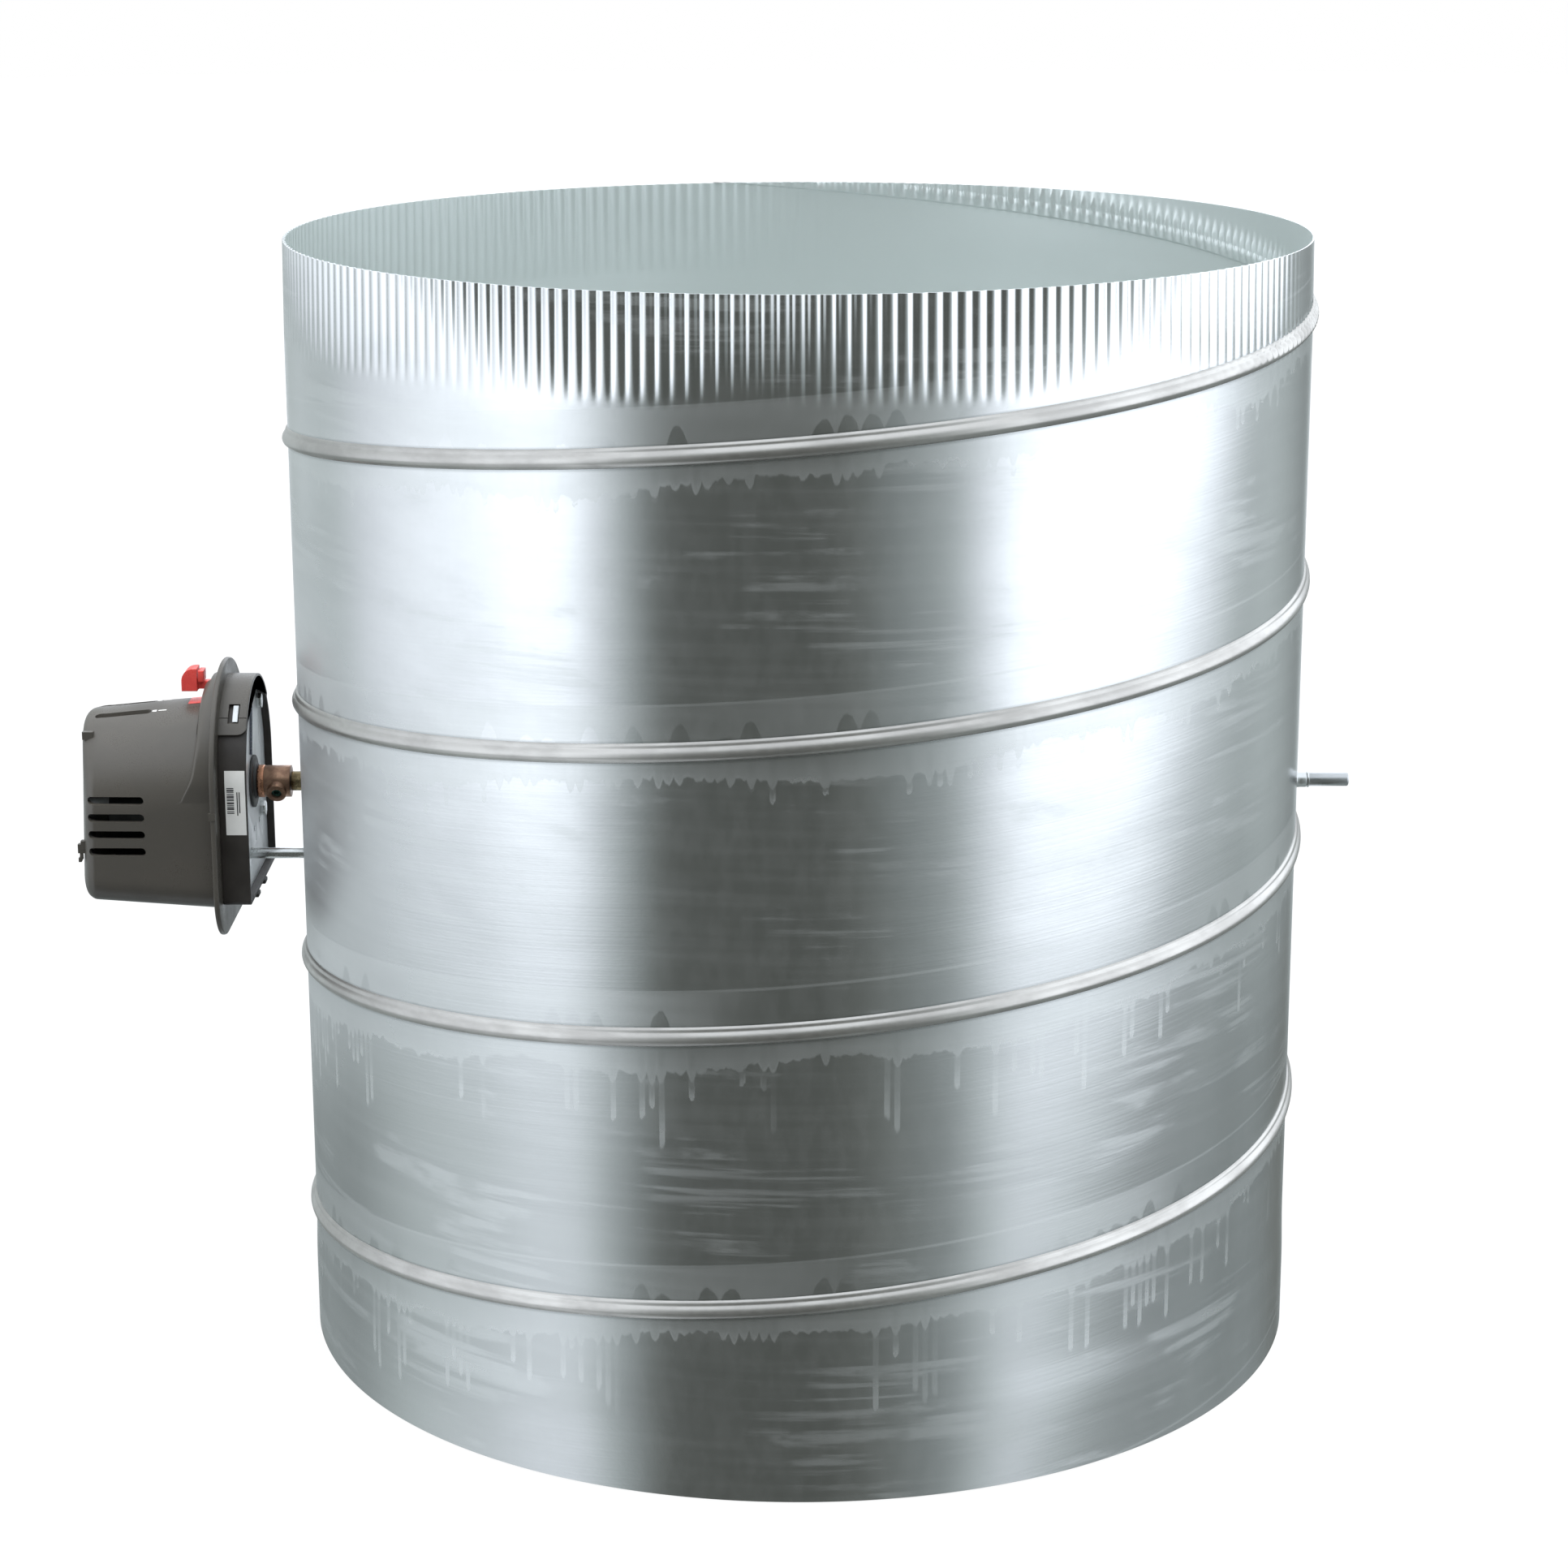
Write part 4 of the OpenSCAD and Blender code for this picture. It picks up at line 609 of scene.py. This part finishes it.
# A ring with an arc, for sector-shaped cutters and strips
def arc_ring(s, inner, outer, start, end, rise, n=48):
    angles = [radians(lerp(start, end, k / n)) for k in range(n + 1)]
    ring = [at(s, outer * cos(a), rise + outer * sin(a)) for a in angles]
    return ring + [at(s, inner * cos(a), rise + inner * sin(a)) for a in reversed(angles)]


def box_ring(s, y0, y1, v0, v1):
    return [at(s, y0, v0), at(s, y1, v0), at(s, y1, v1), at(s, y0, v1)]


# A rounded slot seen along one axis; grow widens it
def stadium(s0, s1, height, grow, n=10):
    r = height / 2
    out = []
    for centre, start in ((s1 - r, -90), (s0 + r, 90)):
        for k in range(n + 1):
            a = radians(start + 180 * k / n)
            out.append((centre + (r + grow) * cos(a), (r + grow) * sin(a)))
    return out


# The front bulges a little from side to side
def crown(y, inset):
    return DOME_FRONT - CROWN_R + sqrt((CROWN_R - inset) ** 2 - y * y)


# The dome's half width, the height of its arch's centre and its depth below the shaft, at s
def dome_size(s):
    t = (s - FLANGE_FRONT) / (DOME_END - FLANGE_FRONT)
    return DOME_R - 1.5 * t, DOME_RISE - 3.1 * t, DOME_LOW - 3.6 * t


# The dome: tapering sections, then a front that rolls in at the foot and has a small edge all round
def dome(name, inset, start):
    rings = []
    corner = DOME_CORNER - inset * 0.5
    for s in (start, 270, 276, 284, 292, 300, 308, 315, DOME_END - inset):
        r, rise, low = dome_size(s)
        rings.append([nose(s, y, v) for y, v in arch_ring(r - inset, rise, low - inset, corner)])
    r, rise, low = dome_size(DOME_END)
    for u in (0.16, 0.32, 0.47, 0.6, 0.71, 0.8, 0.87, 0.92, 0.96, 0.985, 1.0):
        edge = 2.6 * (1 - sqrt(max(0.0, 1 - (max(0.0, u - 0.76) / 0.24) ** 2)))
        pull = inset + 2.2 * u ** 2 + edge
        foot = inset + 7.6 * (1 - sqrt(max(0.0, 1 - u * u))) * 0.92 + edge
        section = arch_ring(r - pull, rise, low - foot, corner)
        rings.append([nose(lerp(DOME_END - inset, crown(y, inset), u), y, v) for y, v in section])
    for f in (0.97, 0.85, 0.65, 0.4, 0.18):
        rings.append([nose(crown(y * f, inset), y * f, lerp(-9, v, f)) for y, v in section])
    return loft(name, rings)


# Shroud over the lever's arc: proud on top, its edge sweeps back down the sides into the dome
def shroud(name):
    half = 43.4
    side_heights = (-13, -10, -7, -4, -1.5, 1, 3.5, 6)
    outline = [(half, v, 0.0) for v in side_heights]
    turns = [pi * k / 60 for k in range(61)]
    outline += [(half * cos(a), ARCH_RISE + half * sin(a), sin(a)) for a in turns]
    outline += [(-half, v, 0.0) for v in reversed(side_heights)]
    shape = []
    for y, v, up in outline:
        edge = 273.4 + 1.8 * (1 - smooth(12, 34, v)) + 6.5 * (1 - smooth(-3, 17, v)) ** 1.3
        shape.append((y, v, up, edge, smooth(-3, 11, v)))
    rings = [[shroud_point(c, along, 0.0) for c in shape] for along in (0, 0.25, 0.5, 0.75)]
    rings += [[shroud_point(c, 1.0, pi / 2 * k / 7) for c in shape] for k in range(8)]
    rings.append([shroud_point(c, 2.0, 0.0) for c in shape])
    return loft(name, rings)


# One point of the shroud: along runs from the flange to 1 at the front edge, where turn goes round its
# fillet, and 2 is the front face's inner end
def shroud_point(column, along, turn):
    y, v, up, edge, proud = column
    fillet = lerp(1.0, 5.2, up)
    if along <= 1.0:
        s = lerp(265.0, edge - fillet, along) + (fillet * sin(turn) if along == 1.0 else 0.0)
        drop = fillet * (1 - cos(turn)) if along == 1.0 else 0.0
    else:
        s, drop = edge, lerp(3.0, 14.0, up)
    width = dome_size(s)[0]
    side = lerp(width - 0.4, width + 0.7, proud)
    if up > 0:
        r = side - drop
        a = atan2(v - ARCH_RISE, y)
        return at(s, r * cos(a), ARCH_RISE + r * sin(a))
    return at(s, (side - drop * (0.35 + 0.65 * proud)) * (1 if y > 0 else -1), v)


# The wide flange, with a rounded edge
def flange(name):
    rings = []
    for s, inset in ((263.5, 0.9), (263.62, 0.4), (264.0, 0.08), (264.5, 0), (265.1, 0), (265.6, 0.12),
                     (265.9, 0.45), (266.0, 0.9)):
        rings.append([at(s, y, v) for y, v in arch_ring(52 - inset, 5.9, 65 - inset, 24 - inset)])
    return loft(name, rings)


# Latching strip behind the flange, rounded at its rear corners
def skirt(name):
    rings = []
    for s in (250.7, 250.9, 251.4, 252.2, 253.3, 254.7, 258.0, 264.5):
        corner = 4 - sqrt(max(0.0, 16 - max(0.0, 254.7 - s) ** 2))
        a = 33.3 + degrees(corner / 43)
        thin = 0.35 if s < 250.8 else (0.1 if s < 251 else 0)
        rings.append(arc_ring(s, 41.4 + thin, 43 - thin, a, 180 - a, ARCH_RISE))
    return loft(name, rings)


# Cutters of the vents, which flare outwards
def side_vent(name, v):
    rings = []
    for y, grow in ((-46, 1.0), (-38.5, 0), (38.5, 0), (46, 1.0)):
        rings.append([at(s, y, v + h) for s, h in stadium(VENT_START, VENT_END, SIDE_VENT_H, grow)])
    return loft(name, rings)


def top_vent(name, y):
    rings = []
    for lift, grow in ((-24, 0), (-3.1, 0), (8, 1.1)):
        ring = []
        for s, w in stadium(VENT_START, VENT_END, TOP_VENT_W, grow):
            r, rise = dome_size(min(s, DOME_END))[:2]
            ring.append(at(s, y + w, rise + sqrt(r * r - y * y) + lift))
        rings.append(ring)
    return loft(name, rings)


# Cutter along the lever's travel
def sweep(name, s0, s1, inner):
    return loft(name, [arc_ring(s, inner, 56, -7.5, 97.5, 0, 64) for s in (s0, s1)])


def block(name, s0, s1, y0, y1, v0, v1):
    return loft(name, [box_ring(s, y0, y1, v0, v1) for s in (s0, s1)])


# Joins or cuts closed solids one by one, and gives the result's mesh to the first one
def combine(obj, others, operation):
    for other in others:
        mod = obj.modifiers.new("cut", "BOOLEAN")
        mod.operation, mod.object, mod.solver = operation, other, "EXACT"
        made = bpy.data.meshes.new_from_object(obj.evaluated_get(bpy.context.evaluated_depsgraph_get()))
        obj.modifiers.clear()
        old, cutter = obj.data, other.data
        obj.data = made
        bpy.data.objects.remove(other)
        bpy.data.meshes.remove(cutter)
        bpy.data.meshes.remove(old)
    return obj


# Gives a finished solid its name, body, slot, shading and the nodes that it stands for
def settle(obj, name, body, slot, nodes=(), sharp=32):
    obj.name = obj.data.name = name
    data = obj.data
    data.polygons.foreach_set("use_smooth", [True] * len(data.polygons))
    data.set_sharp_from_angle(angle=radians(sharp))
    data.materials.clear()
    data.materials.append(SLOTS[slot])
    data.polygons.foreach_set("material_index", [0] * len(data.polygons))
    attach(obj, body)
    if nodes:
        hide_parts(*nodes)


# Two hooks at the nose, the lower one of four blocks, and a tab on the flange's edge
HOOKS = ((322.5, 327.4, -24.5, -21.5, 26.0, 29.6), (322.5, 328.9, -33.4, -30.4, -23.6, -19.6),
         (326.4, 330.3, -33.3, -30.5, -25.4, -21.2), (328.3, 329.5, -33.2, -30.6, -28.6, -24.6),
         (328.9, 330.2, -33.25, -30.7, -29.6, -27.6), (263.6, 266.7, -52.35, -50.6, -5.0, -1.6))


# The cover is hollowed and opened by cutters. The hooks and the tab are closed solids of their own,
# because joined to the cover they made the result differ from run to run
def make_cover():
    settle(join([block("hook", *sizes) for sizes in HOOKS]), "cover_hooks", "duct", "cover_plastic")
    cover = combine(dome("cover", 0, 265.0), [flange("flange"), shroud("shroud"), skirt("skirt")], "UNION")
    opening = arch_ring(39.2, ARCH_RISE, 46.5, 3)
    cuts = [loft("opening", [[at(s, y, v) for y, v in opening] for s in (263.0, 266.5)])]
    cuts.append(dome("inner", COVER_T, 264.4))
    under_shroud = ((264.2, 40.9, ARCH_RISE), (270.6, 40.9, ARCH_RISE), (276.6, 39.2, -3.1))
    cuts.append(loft("inner_shroud", [[at(s, y, v) for y, v in arch_ring(r, rise, 8, 2)]
                                      for s, r, rise in under_shroud]))
    cuts += [side_vent("vent", v) for v in SIDE_VENTS]
    cuts += [top_vent("vent", y) for y in TOP_VENTS]
    cuts += [sweep("arm_slot", 270.3, 274.5, 34.0), sweep("tab_slot", 273.9, 286.0, 43.75)]
    cuts.append(block("window", 254.4, 259.4, -44, 44, 35.5, 42.7))
    for side in (-1, 1):
        edge = radians(90 + side * 45.5)
        c, w = (cos(edge), sin(edge)), (-sin(edge) * 0.2, cos(edge) * 0.2)
        ring = [(r * c[0] + k * w[0], ARCH_RISE + r * c[1] + k * w[1])
                for r, k in ((42.5, -1), (44, -1), (44, 1), (42.5, 1))]
        cuts.append(loft("line", [[at(s, y, v) for y, v in ring] for s in (250, 263.2)]))
    turns = [2 * pi * k / 32 for k in range(32)]
    inlet = [(INLET_S - INLET_R * cos(a), INLET_Y + INLET_R * sin(a)) for a in turns]
    cuts.append(loft("inlet", [[at(s, y, v) for s, y in inlet] for v in (-56, -42)]))
    cover = combine(cover, cuts, "DIFFERENCE")
    settle(cover, "front_cover_shell", "duct", "cover_plastic", ["front_cover"], 30)


# A thin closed strip that lies on the dome's top
def surface_strip(name, s0, s1, a0, a1, lift, n=10):
    points, faces = [], []
    for s in (s0, s1):
        r, rise = dome_size(s)[:2]
        for k in range(n + 1):
            a = radians(lerp(a0, a1, k / n))
            for d in (lift, -0.2):
                points.append(at(s, (r + d) * cos(a), rise + (r + d) * sin(a)))
    m = 2 * (n + 1)
    for k in range(n):
        i = 2 * k
        faces += [(i, i + 2, i + 2 + m, i + m), (i + 1, i + 1 + m, i + 3 + m, i + 3),
                  (i, i + 1, i + 3, i + 2), (i + m, i + m + 2, i + m + 3, i + m + 1)]
    faces += [(0, m, m + 1, 1), (m - 2, m - 1, 2 * m - 1, 2 * m - 2)]
    return solid(name, points, faces)


# Puts the meshes of several objects into the first one
def join(objs):
    data = objs[0].data
    bm = bmesh.new()
    for obj in objs:
        bm.from_mesh(obj.data)
    bm.to_mesh(data)
    bm.free()
    for obj in objs[1:]:
        mesh = obj.data
        bpy.data.objects.remove(obj)
        bpy.data.meshes.remove(mesh)
    return objs[0]


# Prints of a generic kind: plain dashes by the top vents, a red strip, bars on the label
def make_prints():
    marks = []
    for a in (90 + 14.4, 90 - 6.8):
        marks.append(surface_strip("mark", 290.6, 294.4, a - 0.45, a + 0.45, 0.06))
        marks.append(surface_strip("mark", 295.2, 297.2, a - 1.0, a + 1.0, 0.06))
    settle(join(marks), "vent_marks", "duct", "label_film")
    settle(surface_strip("strip", 275.2, 281.4, 80.0, 98.0, 0.12), "red_strip", "duct", "lever_red")
    print_y, bars, v = LABEL_Y - 0.07, [], 7.6
    for k in range(13):
        height = (0.45, 0.8, 0.35, 0.6)[(k * 5 + k // 3) % 4]
        bars.append(block("bar", 256.5, 259.7, print_y, LABEL_Y, v - height, v))
        v -= height + (0.4, 0.65, 0.3)[(k * 2 + k // 4) % 3]
    for s, foot in ((255.0, -5.4), (254.0, -4.2)):
        bars.append(block("bar", s - 0.25, s + 0.25, print_y, LABEL_Y, foot, 5.6))
    settle(join(bars), "label_bars", "duct", "works_black")


# A closed solid of revolution about the shaft
def lathe(name, profile, n=64):
    points, turns = [], [2 * pi * k / n for k in range(n)]
    for x, r in profile:
        points += [(x, r * cos(a), SHAFT_Z + r * sin(a)) for a in turns]
    m, faces = len(profile), []
    for i in range(m):
        j = (i + 1) % m
        for k in range(n):
            q = (k + 1) % n
            faces.append((i * n + k, i * n + q, j * n + q, j * n + k))
    return solid(name, points, faces)


# The right bush is a slim steel sleeve with a flared foot, and a snap ring holds the shaft outside it
def make_right_end():
    sleeve = [(226.98, 3.22), (226.98, 7.2), (227.2, 7.5), (228.2, 7.5), (228.38, 7.3), (228.38, 4.45),
              (229.6, 4.45), (230.2, 4.3), (230.8, 3.95), (231.6, 3.7), (233.0, 3.62), (235.4, 3.6),
              (235.7, 3.5), (235.7, 3.22)]
    settle(lathe("sleeve", sleeve), "shaft_sleeve_right", "duct", "zinc_steel", ["shaft_bush_right"])
    clip = [(236.0, 2.68), (236.0, 3.6), (236.12, 3.72), (236.78, 3.72), (236.9, 3.6), (236.9, 2.68)]
    settle(lathe("clip", clip), "snap_ring", "damper", "zinc_steel", ["retaining_ring"])


# A CAD node again with its edges rounded, and raised by lift. Its own mesh stays as it is
def rounded(node, body, slot, width, lift):
    data = NODES[node].data.copy()
    bm = bmesh.new()
    bm.from_mesh(data)
    bmesh.ops.remove_doubles(bm, verts=bm.verts, dist=2e-6)
    bmesh.ops.dissolve_limit(bm, angle_limit=radians(0.8), verts=bm.verts, edges=bm.edges)
    edges = [e for e in bm.edges if len(e.link_faces) == 2 and e.calc_face_angle(0) > radians(35)]
    bmesh.ops.bevel(bm, geom=edges, offset=width / 1000, segments=2, profile=0.5, affect="EDGES",
                    clamp_overlap=True)
    bm.to_mesh(data)
    bm.free()
    for name in ("custom_normal", "sharp_edge", "sharp_face"):
        if name in data.attributes:
            data.attributes.remove(data.attributes[name])
    for vertex in data.vertices:
        vertex.co.z += lift / 1000
    obj = bpy.data.objects.new(node + "_rounded", data)
    bpy.context.scene.collection.objects.link(obj)
    settle(obj, node + "_rounded", body, slot, [node], 40)


# The lever's tab: upright at its front, with one large round corner
def lever_tab():
    back, front, foot, top, corner = 277.2, 284.4, 43.93, 54.6, 6
    side = [(back, foot), (front, foot), (front, 48.6)]
    side += [(278.4 + corner * cos(pi * k / 24), 48.6 + corner * sin(pi * k / 24)) for k in range(1, 13)]
    side.append((back, top))
    rings = []
    for y, inset in ((-4.62, 0.35), (-4.3, 0.0), (4.3, 0.0), (4.62, 0.35)):
        rings.append([at(min(s, front - inset), y, max(foot + inset, min(v, top - inset))) for s, v in side])
    settle(loft("tab", rings), "lever_tab", "damper", "lever_red")


# Width of the rounding on each node in mm. The grommet is raised with the bottom of the cover
ROUNDING = {"rear_case": 0.4, "manual_lever": 0.5, "drive_hub": 0.3, "hub_ring": 0.35, "hub_bush": 0.3,
            "case_latches": 0.25, "case_clips": 0.4, "plate_screws": 0.3, "stud_nuts": 0.3,
            "cable_grommet": 0.6, "damper_shaft": 0.2, "anti_rotation_stud": 0.3, "shaft_bush_left": 0.3,
            "back_plate": 0.15, "hub_set_screw": 0.2, "blade_stops": 0.3, "thrust_collars": 0.3,
            "clamp_nuts": 0.3}
GROMMET_LIFT = 3.0


def round_edges():
    slots = {row["node"]: row["material_slot"] for row in frame["record"]["subparts"]}
    for node, width in ROUNDING.items():
        lift = GROMMET_LIFT if node == "cable_grommet" else 0.0
        rounded(node, NODES[node]["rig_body"], slots[node], width, lift)


make_cover()
lever_tab()
make_prints()
make_right_end()
round_edges()


# Softboxes that metal reflects: strength, the degrees round the object between which each one rises,
# and those between which it falls. 0 is towards the camera, and plus is to its right
BOXES = ((1.34, -165, -72, -54, -28), (0.34, -80, -60, -52, -44), (0.44, 4, 42, 90, 122),
         (1.42, 31, 54, 80, 108), (0.36, 90, 112, 122, 162), (0.16, 110, 130, 200, 201),
         (0.45, -201, -200, -150, -120), (1.3, 156, 178, 200, 201), (1.3, -201, -200, -182, -158))
SLANTED_BOX = 3


# White background for the camera, a plain level for what is matt, and the softboxes for what is glossy
def make_world():
    world = bpy.data.worlds.new("studio")
    bpy.context.scene.world = world
    world.use_nodes = True
    t = Tree(world.node_tree)
    x, y, z = t.split(t.node("TexCoord").outputs["Generated"])
    side = t.math("MULTIPLY", t.math("ARCTAN2", x, t.math("MULTIPLY", y, -1.0)), 180 / pi)
    slant = t.math("MULTIPLY_ADD", t.math("ADD", z, 0.225), -170.0, side)
    level = 0.0
    for i, (strength, a, b, c, d) in enumerate(BOXES):
        falls = t.ramp(slant if i == SLANTED_BOX else side, c, d, 1.0, 0.0)
        part = t.math("MULTIPLY", t.math("MULTIPLY", t.ramp(side, a, b), falls), strength)
        level = t.math("ADD", level, part)
    fade = t.math("ADD", t.ramp(z, -0.345, -0.235, 0.38, 1.0), t.ramp(z, -0.44, -0.395, 0.18, 0.0))
    level = t.math("ADD", t.math("MULTIPLY", level, fade), 0.112)
    top = t.ramp(z, 0.3, 0.8)
    level = t.math("MULTIPLY", level, t.math("SUBTRACT", 1.0, top))
    level = t.math("ADD", level, t.math("MULTIPLY", top, 1.2))
    tint = t.mix(t.ramp(level, 0.12, 0.3), (0.925, 0.99, 0.92), (0.885, 0.99, 1.0))
    tint = t.mix(t.ramp(level, 0.5, 1.0), tint, (0.93, 0.985, 1.06))
    shade = t.node("Background", Color=tint, Strength=level)
    # Matt surfaces see a sky that is brightest overhead
    high = t.math("MAXIMUM", z, 0.0)
    high = t.math("MULTIPLY_ADD", t.math("MULTIPLY", high, high), 5.0, 0.08)
    plain = t.node("Background", Color=(0.97, 1.0, 1.03), Strength=high)
    white = t.node("Background", Color=(1.0, 1.0, 1.0), Strength=1.0)
    path = t.node("LightPath")
    first = t.node("MixShader", _0=path.outputs["Is Glossy Ray"], _1=plain.outputs[0], _2=shade.outputs[0])
    second = t.node("MixShader", _0=path.outputs["Is Camera Ray"], _1=first.outputs[0], _2=white.outputs[0])
    t.put(t.node("OutputWorld").inputs[0], second.outputs[0])


# A pale floor that keeps the shadow and lets reflections see the studio
def make_floor():
    m = bpy.data.materials.new("floor")
    m.use_nodes = True
    t = Tree(m.node_tree)
    path = t.node("LightPath")
    grey = t.mix(path.outputs["Is Camera Ray"], (0.14, 0.14, 0.14), (0.7, 0.7, 0.7))
    matt = t.node("BsdfDiffuse", Color=grey)
    lit = t.node("Emission", Color=(1, 1, 1), Strength=1.0)
    seen = t.math("MULTIPLY", path.outputs["Is Camera Ray"], 0.88)
    base = t.node("MixShader", _0=seen, _1=matt.outputs[0], _2=lit.outputs[0])
    clear = t.node("BsdfTransparent")
    final = t.node("MixShader", _0=path.outputs["Is Glossy Ray"], _1=base.outputs[0], _2=clear.outputs[0])
    t.put(t.node("OutputMaterial").inputs[0], final.outputs[0])
    data = bpy.data.meshes.new("floor")
    n = 96
    ring = [(9 * cos(2 * pi * i / n), 9 * sin(2 * pi * i / n), -0.0004) for i in range(n)]
    data.from_pydata(ring, [], [tuple(range(n))])
    data.materials.append(m)
    obj = bpy.data.objects.new("floor", data)
    bpy.context.scene.collection.objects.link(obj)


make_world()
make_floor()
